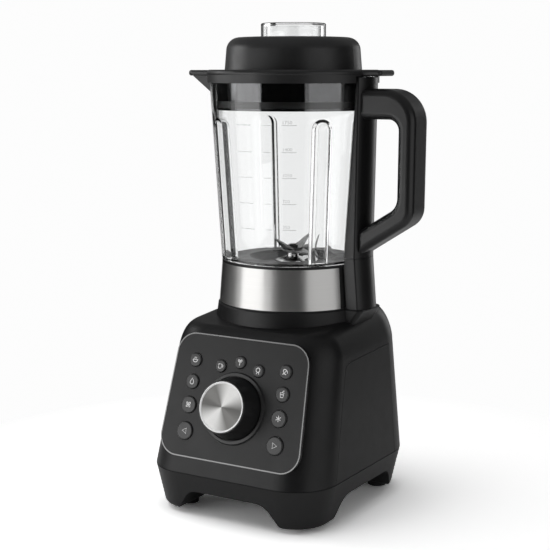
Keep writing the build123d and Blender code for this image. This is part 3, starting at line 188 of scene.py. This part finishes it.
def mix_colours(tree, factor, first, second, blend="MIX"):
    """A mix of two colours. Each of the three values is a socket or fixed."""
    made = tree.nodes.new("ShaderNodeMix")
    made.data_type = "RGBA"
    made.blend_type = blend
    for name, given in (("Factor", factor), ("A", first), ("B", second)):
        fill(tree, made.inputs[name], given)
    return made.outputs["Result"]


def show_blend(tree, factor, first, second, end):
    """Puts a blend of two shaders on the tree's output node."""
    made = tree.nodes.new("ShaderNodeMixShader")
    tree.links.new(factor, made.inputs["Fac"])
    tree.links.new(first, made.inputs[1])
    tree.links.new(second, made.inputs[2])
    tree.links.new(made.outputs["Shader"], tree.nodes[end].inputs["Surface"])


def around(tree, shader, centre, axis):
    """Turns the shader's brushing round an axis. Gives the distance from the axis and the way round it."""
    offset = vector_math(tree, "SUBTRACT", place_vector(tree), centre)
    ring = vector_math(tree, "CROSS_PRODUCT", axis, offset)
    turned = tree.nodes.new("ShaderNodeVectorTransform")
    turned.vector_type = "VECTOR"
    turned.convert_from = "OBJECT"
    turned.convert_to = "WORLD"
    unit = vector_math(tree, "NORMALIZE", ring)
    tree.links.new(unit, turned.inputs["Vector"])
    tree.links.new(turned.outputs["Vector"], shader.inputs["Tangent"])
    return vector_math(tree, "LENGTH", ring), unit


def grey(level):
    """A neutral colour."""
    return (level, level, level)


# Plastic changes its tone slowly, its gloss sooner, and has a fine grain
TONE_SCALE = 30.0
GLOSS_SCALE = 90.0
GLOSS_DETAIL = 4.0
GRAIN_SCALE = 1500.0
PANEL_GRAIN_SCALE = 2200.0
GRAIN_DETAIL = 1.0
GRAIN_STRENGTH = 0.25
RUBBER_STRENGTH = 0.5

# Brushed metal takes its streaks from noise that is stretched by each metal's own scale
STREAK_SCALE = 1.0
STREAK_DETAIL = 3.0
STREAK_STRENGTH = 0.12
BAND_STRENGTH = 0.03
QUARTER_TURN = 0.25

# The grain and the streaks are this deep
SURFACE_DEPTH = 0.00002

# Clear pieces are a little uneven in tone and in shape
CLEAR_TONE_SCALE = 12.0
CLEAR_TONE_STEP = 0.01
CLEAR_SPECULAR = 0.1
WAVE_SCALE = 25.0
WAVE_DETAIL = 1.0
WAVE_STRENGTH = 0.03
WAVE_DEPTH = 0.0004

# How far a clear wall has turned away, from 0 to 1, where painted shade darkens its outline
FACING_BLEND = 0.5
PAINTED_SHADE_START = 0.5
PAINTED_SHADE_END = 0.66

# The knob's spun face has fine rings, and a painted highlight: a bright streak painted into its colour
# along one line of the panel
RING_SCALE = 5200.0
RING_DETAIL = 2.0
RING_DARK = grey(0.86)
RING_LIGHT = grey(1)
FACE_SMOOTH = 0.36
FACE_ROUGH = 0.44
PAINTED_SHEEN_TURN = radians(58)
PAINTED_SHEEN_ALONG = PANEL_RIGHT * cos(PAINTED_SHEEN_TURN) + PANEL_UP * sin(PAINTED_SHEEN_TURN)
PAINTED_SHEEN_DARK = (0.18, 0.178, 0.172)
PAINTED_SHEEN_LIGHT = (0.88, 0.877, 0.865)
PAINTED_SHEEN_START = 0.25
PAINTED_SHEEN_END = 0.95

# The face's pale rim is a painted highlight in place of its polished chamfer's reflection; it starts here,
# out from its axis
EDGE_START = 0.0209
EDGE_END = 0.0211
PAINTED_RIM_HIGHLIGHT = (*grey(0.98), 1)

# The lid is satin, and its plug, inside the glass and within this radius, shines like dark metal
PLUG_R = 0.0765
PLUG_EDGE = 0.0004
PLUG_ROUGH = 0.06
PLUG_DARK = (0.07, 0.07, 0.072)
PLUG_LIGHT = (0.08, 0.08, 0.082)
LID_ROUGH = 0.36
LID_DARK = (0.014, 0.014, 0.0145)
LID_LIGHT = (0.018, 0.018, 0.0185)
LID_GLOSS_LOW = 0.92
LID_GLOSS_HIGH = 1.12
LID_STRENGTH = 0.12

# The black of the large mouldings
BLACK_DARK = (0.007, 0.007, 0.0074)
BLACK_LIGHT = (0.009, 0.009, 0.0094)


# Materials
def plastic(name, dark, light, smooth, rough, grain=GRAIN_SCALE, strength=GRAIN_STRENGTH, **values):
    """Moulded plastic: a fine grain, uneven gloss and a slight change of tone."""
    made, tree, shader = new_material(name)
    where = place_vector(tree)
    tone = tint(tree, noise(tree, where, TONE_SCALE), dark, light)
    tree.links.new(tone, shader.inputs["Base Color"])
    gloss = spread(tree, noise(tree, where, GLOSS_SCALE, GLOSS_DETAIL), smooth, rough)
    tree.links.new(gloss, shader.inputs["Roughness"])
    add_bump(tree, shader, noise(tree, where, grain, GRAIN_DETAIL), strength, SURFACE_DEPTH)
    set_values(shader, **values)
    return made


def brushed(name, dark, light, smooth, rough, scale, strength=STREAK_STRENGTH, centre=None, **values):
    """Brushed metal, with long streaks where the scale is small. A centre turns its brushing round it."""
    made, tree, shader = new_material(name)
    streak = noise(tree, place_vector(tree, scale), STREAK_SCALE, STREAK_DETAIL)
    tree.links.new(tint(tree, streak, dark, light), shader.inputs["Base Color"])
    tree.links.new(spread(tree, streak, smooth, rough), shader.inputs["Roughness"])
    add_bump(tree, shader, streak, strength, SURFACE_DEPTH)
    set_values(shader, Metallic=1.0, **values)
    if centre is not None:
        around(tree, shader, centre, UP)
    return made


def clear(name, colour, painted_edge_shade, ior):
    """A clear solid with a faint unevenness, whose upright walls get painted shade where they turn away.
    """
    made, tree, shader = new_material(name)
    where = place_vector(tree)
    paler = tuple(min(1.0, part + CLEAR_TONE_STEP) for part in colour)
    turned = tree.nodes.new("ShaderNodeLayerWeight")
    turned.inputs["Blend"].default_value = FACING_BLEND
    normal = tree.nodes.new("ShaderNodeNewGeometry").outputs["Normal"]
    upright = vector_math(tree, "LENGTH", vector_math(tree, "MULTIPLY", normal, (1, 1, 0)))
    away = spread(tree, turned.outputs["Facing"], 0, 1, PAINTED_SHADE_START, PAINTED_SHADE_END)
    amount = number_math(tree, "MULTIPLY", away, upright)
    tone = tint(tree, noise(tree, where, CLEAR_TONE_SCALE), colour, paler)
    # Painted shade: the colour of the upright walls darkens where they turn away from sight, standing in
    # for the dark lines that clear walls show at their outline
    tree.links.new(mix_colours(tree, amount, tone, (*painted_edge_shade, 1)), shader.inputs["Base Color"])
    add_bump(tree, shader, noise(tree, where, WAVE_SCALE, WAVE_DETAIL), WAVE_STRENGTH, WAVE_DEPTH)
    set_values(shader, Roughness=0.0, IOR=ior, Transmission_Weight=1.0, Specular_IOR_Level=CLEAR_SPECULAR)
    return made


def spun_metal(name):
    """The knob's face: fine rings, a painted highlight streak and a painted highlight on its pale rim."""
    made, tree, shader = new_material(name)
    rings = tree.nodes.new("ShaderNodeTexNoise")
    rings.noise_dimensions = "1D"
    rings.inputs["Scale"].default_value = RING_SCALE
    rings.inputs["Detail"].default_value = RING_DETAIL
    reach, ring = around(tree, shader, KNOB, PANEL_OUT)
    tree.links.new(reach, rings.inputs["W"])
    # Painted highlight: the face's colour is light along one line through its middle and dark across it,
    # in place of the spun metal's reflection
    facing = vector_math(tree, "DOT_PRODUCT", ring, PANEL_OUT.cross(PAINTED_SHEEN_ALONG))
    square = number_math(tree, "MULTIPLY", facing, facing)
    painted_sheen = tint(tree, square, PAINTED_SHEEN_DARK, PAINTED_SHEEN_LIGHT, PAINTED_SHEEN_START, PAINTED_SHEEN_END)
    lines = tint(tree, rings.outputs["Fac"], RING_DARK, RING_LIGHT)
    face = mix_colours(tree, 1.0, painted_sheen, lines, "MULTIPLY")
    # Painted highlight: a near-white ring of colour at the face's rim, in place of the polished chamfer's
    # reflection
    rim_highlight = spread(tree, reach, 0.0, 1.0, EDGE_START, EDGE_END)
    tree.links.new(mix_colours(tree, rim_highlight, face, PAINTED_RIM_HIGHLIGHT), shader.inputs["Base Color"])
    inside = spread(tree, reach, 1.0, 0.0, EDGE_START, EDGE_END)
    tree.links.new(inside, shader.inputs["Metallic"])
    tree.links.new(spread(tree, rings.outputs["Fac"], FACE_SMOOTH, FACE_ROUGH), shader.inputs["Roughness"])
    set_values(shader, Anisotropic=1.0, Anisotropic_Rotation=QUARTER_TURN, Specular_IOR_Level=1.0)
    return made


def lid_finish(name):
    """Satin plastic outside the glass, and polished on the plug inside it."""
    made, tree, shader = new_material(name)
    where = place_vector(tree)
    height = tree.nodes.new("ShaderNodeSeparateXYZ")
    tree.links.new(where, height.inputs["Vector"])
    above = spread(tree, height.outputs["Z"], 0, 1, RIM_Z - PLUG_EDGE, RIM_Z)
    flat = vector_math(tree, "MULTIPLY", vector_math(tree, "SUBTRACT", where, AXIS), (1, 1, 0))
    outside = spread(tree, vector_math(tree, "LENGTH", flat), 0, 1, PLUG_R, PLUG_R + PLUG_EDGE)
    satin = number_math(tree, "MAXIMUM", above, outside)
    rough = spread(tree, satin, PLUG_ROUGH, LID_ROUGH, 0, 1)
    uneven = spread(tree, noise(tree, where, GLOSS_SCALE, GLOSS_DETAIL), LID_GLOSS_LOW, LID_GLOSS_HIGH)
    tree.links.new(number_math(tree, "MULTIPLY", rough, uneven), shader.inputs["Roughness"])
    tone = noise(tree, where, TONE_SCALE)
    plug_colour = tint(tree, tone, PLUG_DARK, PLUG_LIGHT)
    lid_colour = tint(tree, tone, LID_DARK, LID_LIGHT)
    tree.links.new(mix_colours(tree, satin, plug_colour, lid_colour), shader.inputs["Base Color"])
    tree.links.new(spread(tree, satin, 1, 0, 0, 1), shader.inputs["Metallic"])
    add_bump(tree, shader, noise(tree, where, GRAIN_SCALE, GRAIN_DETAIL), LID_STRENGTH, SURFACE_DEPTH)
    return made


# Dark and light tones come first, then how smooth and how rough the surface is
body_plastic = plastic(
    "body_plastic", BLACK_DARK, BLACK_LIGHT, smooth=0.38, rough=0.42, Specular_IOR_Level=0.33
)
tray_plastic = plastic(
    "tray_plastic", BLACK_DARK, BLACK_LIGHT, smooth=0.4, rough=0.44, Specular_IOR_Level=0.36
)
handle_plastic = plastic(
    "handle_plastic", BLACK_DARK, BLACK_LIGHT, smooth=0.32, rough=0.36, Specular_IOR_Level=0.5
)
panel_plastic = plastic(
    "panel_plastic", (0.009, 0.009, 0.0093), (0.012, 0.012, 0.0123), smooth=0.42, rough=0.46,
    grain=PANEL_GRAIN_SCALE, Specular_IOR_Level=0.4
)
button_plastic = plastic(
    "button_plastic", (0.02, 0.02, 0.0205), (0.026, 0.026, 0.0265), smooth=0.24, rough=0.34
)
knob_plastic = plastic(
    "knob_plastic", (0.008, 0.008, 0.0085), (0.012, 0.012, 0.0125), smooth=0.26, rough=0.34
)
bezel_plastic = plastic(
    "bezel_plastic", (0.012, 0.012, 0.0125), (0.016, 0.016, 0.0165), smooth=0.3, rough=0.38
)
inner_plastic = plastic("inner_plastic", grey(0.03), grey(0.045), smooth=0.35, rough=0.5)
floor_plastic = plastic(
    "floor_plastic", grey(0.012), grey(0.02), smooth=0.35, rough=0.5, Specular_IOR_Level=0.25
)
rubber = plastic("rubber", grey(0.008), grey(0.014), smooth=0.65, rough=0.85, strength=RUBBER_STRENGTH)
seal_rubber = plastic("seal_rubber", grey(0.004), grey(0.006), smooth=0.3, rough=0.4)
board_lacquer = plastic(
    "board_lacquer", (0.015, 0.09, 0.045), (0.03, 0.14, 0.07), smooth=0.25, rough=0.4
)
carbon = plastic("carbon", grey(0.02), grey(0.04), smooth=0.5, rough=0.7)
icon_paint = plastic("icon_paint", grey(0.8), grey(0.88), smooth=0.4, rough=0.5)
mark_paint = plastic("mark_paint", grey(0.5), grey(0.58), smooth=0.45, rough=0.6, Alpha=0.35)
clear_glass = clear("clear_glass", (0.95, 0.955, 0.955), painted_edge_shade=grey(0.6), ior=1.36)
clear_plastic = clear("clear_plastic", (0.9, 0.905, 0.905), painted_edge_shade=grey(0.005), ior=1.46)
band_steel = brushed(
    "band_steel", (0.58, 0.575, 0.565), (0.63, 0.625, 0.615), smooth=0.28, rough=0.34, scale=(4, 4, 3600),
    strength=BAND_STRENGTH, centre=AXIS, Anisotropic=0.8, Anisotropic_Rotation=QUARTER_TURN
)
knob_metal = spun_metal("knob_metal")
trim_metal = brushed("trim_metal", grey(0.16), grey(0.21), smooth=0.25, rough=0.35, scale=(40, 40, 40))
blade_steel = brushed(
    "blade_steel", grey(0.15), grey(0.22), smooth=0.26, rough=0.38, scale=(300, 30, 300)
)
bright_steel = brushed("bright_steel", grey(0.5), grey(0.6), smooth=0.2, rough=0.3, scale=(30, 30, 900))
cast_metal = brushed(
    "cast_metal", grey(0.45), grey(0.55), smooth=0.4, rough=0.55, scale=(400, 400, 400)
)
iron = brushed("iron", grey(0.2), grey(0.28), smooth=0.4, rough=0.55, scale=(20, 20, 2000))
copper = brushed(
    "copper", (0.55, 0.25, 0.12), (0.66, 0.32, 0.16), smooth=0.3, rough=0.42, scale=(20, 20, 900)
)
lid_plastic = lid_finish("lid_plastic")

BUTTONS = [name for name in nodes if "_button_" in name]
FINISHES = {
    body_plastic: ["base_housing", "side_panels", "collar_ring", "jar_base", "cord_gland"],
    tray_plastic: ["bottom_tray"],
    handle_plastic: ["handle", "handle_socket"],
    lid_plastic: ["lid"],
    panel_plastic: ["control_panel"],
    button_plastic: BUTTONS,
    knob_plastic: ["knob_body"],
    bezel_plastic: ["knob_bezel"],
    knob_metal: ["knob_face"],
    trim_metal: ["panel_trim"],
    band_steel: ["steel_band"],
    clear_glass: ["glass_jar"],
    clear_plastic: ["measuring_cap"],
    floor_plastic: ["jar_floor"],
    rubber: ["rubber_feet", "motor_dampers", "floor_gasket"],
    seal_rubber: ["lid_seal"],
    blade_steel: ["upper_blades", "lower_blades", "blade_nut", "blade_spindle"],
    bright_steel: [
        "blade_bearing_housing", "housing_nut", "blade_bearings",
        "base_screws", "motor_shaft", "motor_bearings",
    ],
    cast_metal: ["upper_motor_bracket", "lower_motor_bracket", "motor_mount"],
    iron: ["stator_core", "armature", "interlock_magnet"],
    copper: ["field_coils", "commutator"],
    carbon: ["carbon_brushes"],
    board_lacquer: ["control_board", "power_board"],
    inner_plastic: [
        "drive_coupling", "driven_coupling", "cooling_fan",
        "reed_switch", "rotary_encoder", "tact_switches",
    ],
}
for finish, names in FINISHES.items():
    for name in names:
        nodes[name].data.materials.clear()
        nodes[name].data.materials.append(finish)


# Pieces of the scene's own
def add_piece(name, mesh, finish, body):
    """A new piece in the row frame that moves with a body."""
    piece = add_object(name, mesh)
    mesh.materials.clear()
    mesh.materials.append(finish)
    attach(piece, body)


def take_mesh(curve):
    """The mesh that a curve or a text makes. The curve is removed."""
    holder = add_object(curve.name + "_curve", curve)
    shaped = holder.evaluated_get(bpy.context.evaluated_depsgraph_get())
    mesh = bpy.data.meshes.new_from_object(shaped)
    bpy.data.objects.remove(holder)
    bpy.data.curves.remove(curve)
    return mesh


# Icons on the buttons: raised strokes, drawn on a square from -1 to 1
ARC_STEPS = 14
CIRCLE_STEPS = 22
SPOKE = 0.9
PETAL = [(0.0, 0.12), (0.24, 0.42), (0.2, 0.75), (0.0, 0.95), (-0.2, 0.75), (-0.24, 0.42), (0.0, 0.12)]


def arc(x, y, radius, start, end, steps=ARC_STEPS):
    """Points along an arc, in degrees."""
    turns = [radians(start + (end - start) * step / steps) for step in range(steps + 1)]
    return [(x + radius * cos(turn), y + radius * sin(turn)) for turn in turns]


def petal(turn):
    """A closed leaf from the middle outwards."""
    spin = radians(turn)
    return [(x * cos(spin) - y * sin(spin), x * sin(spin) + y * cos(spin)) for x, y in PETAL]


def spoke(turn):
    """A line through the middle."""
    x = SPOKE * cos(radians(turn))
    y = SPOKE * sin(radians(turn))
    return [(x, y), (-x, -y)]


ICONS = {
    "left_button_1": [
        arc(0, 0.1, 0.8, 180, 360) + [(-0.8, 0.1)],
        [(-0.3, 0.4), (-0.15, 0.6), (-0.3, 0.85)],
        [(0.25, 0.4), (0.4, 0.6), (0.25, 0.85)],
    ],
    "left_button_2": [[(0, 0.95)] + arc(0, -0.25, 0.6, 30, -210) + [(0, 0.95)]],
    "left_button_3": [petal(45), petal(135), petal(225), petal(315)],
    "left_button_4": [[(-0.75, 0), (0.6, 0.8), (0.6, -0.8), (-0.75, 0)]],
    "right_button_1": [
        arc(-0.35, -0.35, 1.1, 0, 90) + arc(0.4, 0.4, 1.1, 180, 270),
        [(-0.8, -0.8), (0.3, 0.3)],
    ],
    "right_button_2": [
        [(-0.6, 0.5), (-0.42, -0.85), (0.42, -0.85), (0.6, 0.5), (-0.6, 0.5)],
        [(0.05, 0.5), (0.3, 1.0), (0.65, 1.0)],
        [(-0.52, -0.05), (0.52, -0.05)],
    ],
    "right_button_3": [spoke(30), spoke(90), spoke(150)],
    "right_button_4": [[(0.75, 0), (-0.6, 0.8), (-0.6, -0.8), (0.75, 0)]],
    "middle_button_1": [
        [(-0.7, 0.55), (-0.55, -0.7), (0.3, -0.7), (0.45, 0.55), (-0.7, 0.55)],
        arc(0.45, 0.0, 0.38, 80, -80),
    ],
    "middle_button_2": [[(0, -0.95), (0, 0.1)], petal(40), petal(-40)],
    "middle_button_3": [
        arc(0, 0.25, 0.62, 0, 360, CIRCLE_STEPS),
        [(-0.2, -0.35), (-0.45, -0.95)],
        [(0.2, -0.35), (0.45, -0.95)],
    ],
}

# Each button's place on the panel, right of the knob's axis and up from it
BUTTON_PLACES = {
    "middle_button_1": (-0.02, 0.0365),
    "middle_button_2": (0.0, 0.042),
    "middle_button_3": (0.02, 0.0365),
}
SIDE_ACROSS = 0.048
SIDE_RISES = (0.039, 0.019, -0.0025, -0.0265)
for number, rise in enumerate(SIDE_RISES, 1):
    BUTTON_PLACES[f"left_button_{number}"] = (-SIDE_ACROSS, rise)
    BUTTON_PLACES[f"right_button_{number}"] = (SIDE_ACROSS, rise)

# A button's face stands this far out, and its icon has this half size, stroke radius and flatness
BUTTON_PROUD = 0.0016
ICON_HALF = 0.0031
STROKE_R = 0.0004
STROKE_FLAT = 0.45
STROKE_ROUNDS = 2


def stroke_mesh(name, paths):
    """Tubes along an icon's paths, in the icon's own plane."""
    curve = bpy.data.curves.new(name, "CURVE")
    curve.dimensions = "3D"
    curve.bevel_depth = STROKE_R
    curve.bevel_resolution = STROKE_ROUNDS
    curve.use_fill_caps = True
    for path in paths:
        closed = path[0] == path[-1]
        points = path[:-1] if closed else path
        spline = curve.splines.new("POLY")
        spline.points.add(len(points) - 1)
        for point, (x, y) in zip(spline.points, points):
            point.co = (x * ICON_HALF, y * ICON_HALF, 0, 1)
        spline.use_cyclic_u = closed
    mesh = take_mesh(curve)
    for polygon in mesh.polygons:
        polygon.use_smooth = True
    return mesh


icon_turn = Matrix((PANEL_RIGHT, PANEL_UP, PANEL_OUT * STROKE_FLAT)).transposed().to_4x4()
for button, paths in ICONS.items():
    across, along = BUTTON_PLACES[button]
    icon_spot = KNOB + PANEL_RIGHT * across + PANEL_UP * along + PANEL_OUT * BUTTON_PROUD
    icon = stroke_mesh(button + "_icon", paths)
    icon.transform(Matrix.Translation(icon_spot) @ icon_turn)
    add_piece(button + "_icon", icon, icon_paint, button)

# Measuring marks on the outside of the glass: the height of each number's lines
MARK_ROWS = {"350": 0.2632, "700": 0.2866, "1050": 0.3099, "1400": 0.3330, "1750": 0.3568}

# The lines of a row: start and end in degrees from the camera's side, and width
MARK_COLUMNS = [(-8.5, 1.5, 0.0006), (-21.5, -16.5, 0.0005), (-43.0, -31.0, 0.0005)]
MARK_STEPS = 8
MARK_LIFT = 0.00012

# The numbers stand above the first line of their row, from its start
NUMBER_TURN = MARK_COLUMNS[0][0]
NUMBER_SIZE = 0.0042
NUMBER_RISE = 0.0012
DEGREE_LENGTH = GLASS_LOW_R * pi / 180


def on_glass(turn, height, lift):
    """A point on the glass's outside, at a turn in degrees from the camera's side."""
    share = (height - GLASS_LOW.z) / (RIM_Z - GLASS_LOW.z)
    radius = GLASS_LOW_R + (GLASS_TOP_R - GLASS_LOW_R) * share + lift
    angle = radians(VIEW_TURN + turn)
    return Vector((AXIS.x + radius * cos(angle), AXIS.y + radius * sin(angle), height))


def add_strip(points, faces, start, end, height, width):
    """A thin raised line that follows the glass."""
    first = len(points)
    half = width / 2
    section = ((-half, 0.0), (-half, MARK_LIFT), (half, MARK_LIFT), (half, 0.0))
    count = len(section)
    for step in range(MARK_STEPS + 1):
        turn = start + (end - start) * step / MARK_STEPS
        for rise, lift in section:
            points.append(on_glass(turn, height + rise, lift))
    for step in range(MARK_STEPS):
        here = first + count * step
        ahead = here + count
        for side in range(count):
            after = (side + 1) % count
            faces.append((here + side, here + after, ahead + after, ahead + side))
    last = first + count * MARK_STEPS
    faces.append(tuple(range(first + count - 1, first - 1, -1)))
    faces.append(tuple(range(last, last + count)))


def marks_mesh():
    """All the lines as one mesh."""
    points, faces = [], []
    for height in MARK_ROWS.values():
        for start, end, width in MARK_COLUMNS:
            add_strip(points, faces, start, end, height, width)
    mesh = bpy.data.meshes.new("jar_marks")
    mesh.from_pydata(points, [], faces)
    mesh.validate()
    return mesh


def number_mesh(label, height):
    """A number that is bent round the glass."""
    text = bpy.data.curves.new("number", "FONT")
    text.body = label
    text.size = NUMBER_SIZE
    text.extrude = MARK_LIFT / 2
    mesh = take_mesh(text)
    for vertex in mesh.vertices:
        turn = NUMBER_TURN + vertex.co.x / DEGREE_LENGTH
        vertex.co = on_glass(turn, height + NUMBER_RISE + vertex.co.y, MARK_LIFT / 2 + vertex.co.z)
    return mesh


add_piece("jar_marks", marks_mesh(), mark_paint, "jar")
for label, height in MARK_ROWS.items():
    add_piece("jar_number_" + label, number_mesh(label, height), mark_paint, "jar")

# Floor: pale near the object, and fading to the white of the backdrop between these distances
FLOOR_HALF = 12.0
FLOOR_NEAR = 0.12
FLOOR_FAR = 0.42
WHITE = (*grey(0.98), 1)

# The floor's colour as it lights the object, and as it is seen
FLOOR_LIGHT = (*grey(0.85), 1)
FLOOR_SEEN = (*grey(1.88), 1)


def sees_backdrop(tree):
    """1 for the rays that look at the backdrop itself, in sight or through glass."""
    path = tree.nodes.new("ShaderNodeLightPath")
    return number_math(tree, "MAXIMUM", path.outputs["Is Camera Ray"], path.outputs["Is Transmission Ray"])


def floor_finish(name):
    """A dull pale floor that keeps the object's shadow and glows white further out."""
    made, tree, shader = new_material(name)
    tree.nodes.remove(shader)
    seen = sees_backdrop(tree)
    diffuse = tree.nodes.new("ShaderNodeBsdfDiffuse")
    tree.links.new(mix_colours(tree, seen, FLOOR_LIGHT, FLOOR_SEEN), diffuse.inputs["Color"])
    glow = tree.nodes.new("ShaderNodeEmission")
    glow.inputs["Color"].default_value = WHITE
    away = vector_math(tree, "LENGTH", place_vector(tree))
    far = spread(tree, away, 0.0, 1.0, FLOOR_NEAR, FLOOR_FAR)
    share = number_math(tree, "MULTIPLY", far, seen)
    show_blend(tree, share, diffuse.outputs["BSDF"], glow.outputs["Emission"], "Material Output")
    return made


floor_mesh = bpy.data.meshes.new("floor")
corners = [(x * FLOOR_HALF, y * FLOOR_HALF, 0) for x, y in ((-1, -1), (1, -1), (1, 1), (-1, 1))]
floor_mesh.from_pydata(corners, [], [(0, 1, 2, 3)])
floor = add_object("floor", floor_mesh)
floor.data.materials.append(floor_finish("floor_paint"))

# World: a soft even light, and white where it is seen
SOFT_STRENGTH = 0.2


def light_world(world):
    """Gives the world its soft light and its backdrop."""
    world.use_nodes = True
    tree = world.node_tree
    soft = tree.nodes["Background"]
    soft.inputs["Color"].default_value = (1, 1, 1, 1)
    soft.inputs["Strength"].default_value = SOFT_STRENGTH
    backdrop = tree.nodes.new("ShaderNodeBackground")
    backdrop.inputs["Color"].default_value = WHITE
    seen = sees_backdrop(tree)
    show_blend(tree, seen, soft.outputs["Background"], backdrop.outputs["Background"], "World Output")


bpy.context.scene.world = bpy.data.worlds.new("studio")
light_world(bpy.context.scene.world)


# Lamps and dark flags, placed by their turn from the camera's side, to the camera's right
def studio_place(turn, distance, height):
    """A point round the object at a turn in degrees."""
    angle = radians(VIEW_TURN + turn)
    return Vector((AXIS.x + distance * cos(angle), AXIS.y + distance * sin(angle), height))


def add_lamp(name, turn, distance, height, aim, width, tall, radiance, in_gloss=True, in_glass=True):
    """A soft rectangular lamp that faces the jar's axis at the height of its aim."""
    lamp = bpy.data.lights.new(name, "AREA")
    lamp.shape = "RECTANGLE"
    lamp.size = width
    lamp.size_y = tall
    lamp.energy = radiance * pi * width * tall
    holder = add_object(name, lamp)
    holder.location = studio_place(turn, distance, height)
    look_along(holder, Vector((AXIS.x, AXIS.y, aim)) - studio_place(turn, distance, height))
    holder.visible_glossy = in_gloss
    holder.visible_transmission = in_glass


add_lamp("key", turn=-60, distance=1.0, height=0.24, aim=0.24, width=1.02, tall=0.46, radiance=1.5)
add_lamp(
    "key_back", turn=-60, distance=1.01, height=0.24, aim=0.24, width=1.02, tall=0.46, radiance=0.6,
    in_glass=False
)
add_lamp("left", turn=-106, distance=1.0, height=0.58, aim=0.58, width=0.6, tall=0.45, radiance=2.3)
add_lamp("fill", turn=46, distance=1.0, height=0.35, aim=0.35, width=0.95, tall=0.7, radiance=0.6)
add_lamp(
    "top", turn=-90, distance=0.3, height=1.5, aim=0.22, width=1.5, tall=1.5, radiance=1.5,
    in_gloss=False
)
add_lamp("rim", turn=139, distance=1.0, height=0.35, aim=0.3, width=0.3, tall=0.6, radiance=1.2)

# The flags stand this far out, most of them just above the floor
FLAG_DISTANCE = 0.7
FLAG_STEPS = 12
FLAG_FOOT = 0.001
CARD_COLOUR = (*grey(0.02), 1)


def dark_card(name, in_glass):
    """A dull dark card. Where it isn't in glass, it shows only in what reflects it."""
    made, tree, shader = new_material(name)
    set_values(shader, Base_Color=CARD_COLOUR, Roughness=1.0, Specular_IOR_Level=0.0)
    if not in_glass:
        depth = tree.nodes.new("ShaderNodeLightPath").outputs["Glossy Depth"]
        gone = tree.nodes.new("ShaderNodeBsdfTransparent")
        show_blend(tree, depth, gone.outputs["BSDF"], shader.outputs["BSDF"], "Material Output")
    return made


def add_flag(name, start, end, low, high, finish):
    """A dark upright card round the object, out of sight but for gloss and glass."""
    points, faces = [], []
    for step in range(FLAG_STEPS + 1):
        turn = start + (end - start) * step / FLAG_STEPS
        points += [studio_place(turn, FLAG_DISTANCE, low), studio_place(turn, FLAG_DISTANCE, high)]
    for step in range(FLAG_STEPS):
        faces.append((2 * step, 2 * step + 2, 2 * step + 3, 2 * step + 1))
    mesh = bpy.data.meshes.new(name)
    mesh.from_pydata(points, [], faces)
    mesh.materials.append(finish)
    flag = add_object(name, mesh)
    flag.visible_camera = False
    flag.visible_diffuse = False
    flag.visible_shadow = False


card = dark_card("card", in_glass=True)
mirror_card = dark_card("mirror_card", in_glass=False)
add_flag("flag_middle", start=-24, end=15, low=FLAG_FOOT, high=0.7, finish=mirror_card)
add_flag("flag_plug", start=-46, end=-24, low=0.2, high=0.42, finish=mirror_card)
add_flag("flag_left", start=-134, end=-98, low=FLAG_FOOT, high=0.4, finish=mirror_card)
add_flag("flag_left_back", start=-158, end=-134, low=FLAG_FOOT, high=0.4, finish=card)
add_flag("flag_right", start=69, end=114, low=FLAG_FOOT, high=0.7, finish=mirror_card)
add_flag("flag_back", start=150, end=159, low=FLAG_FOOT, high=0.7, finish=card)
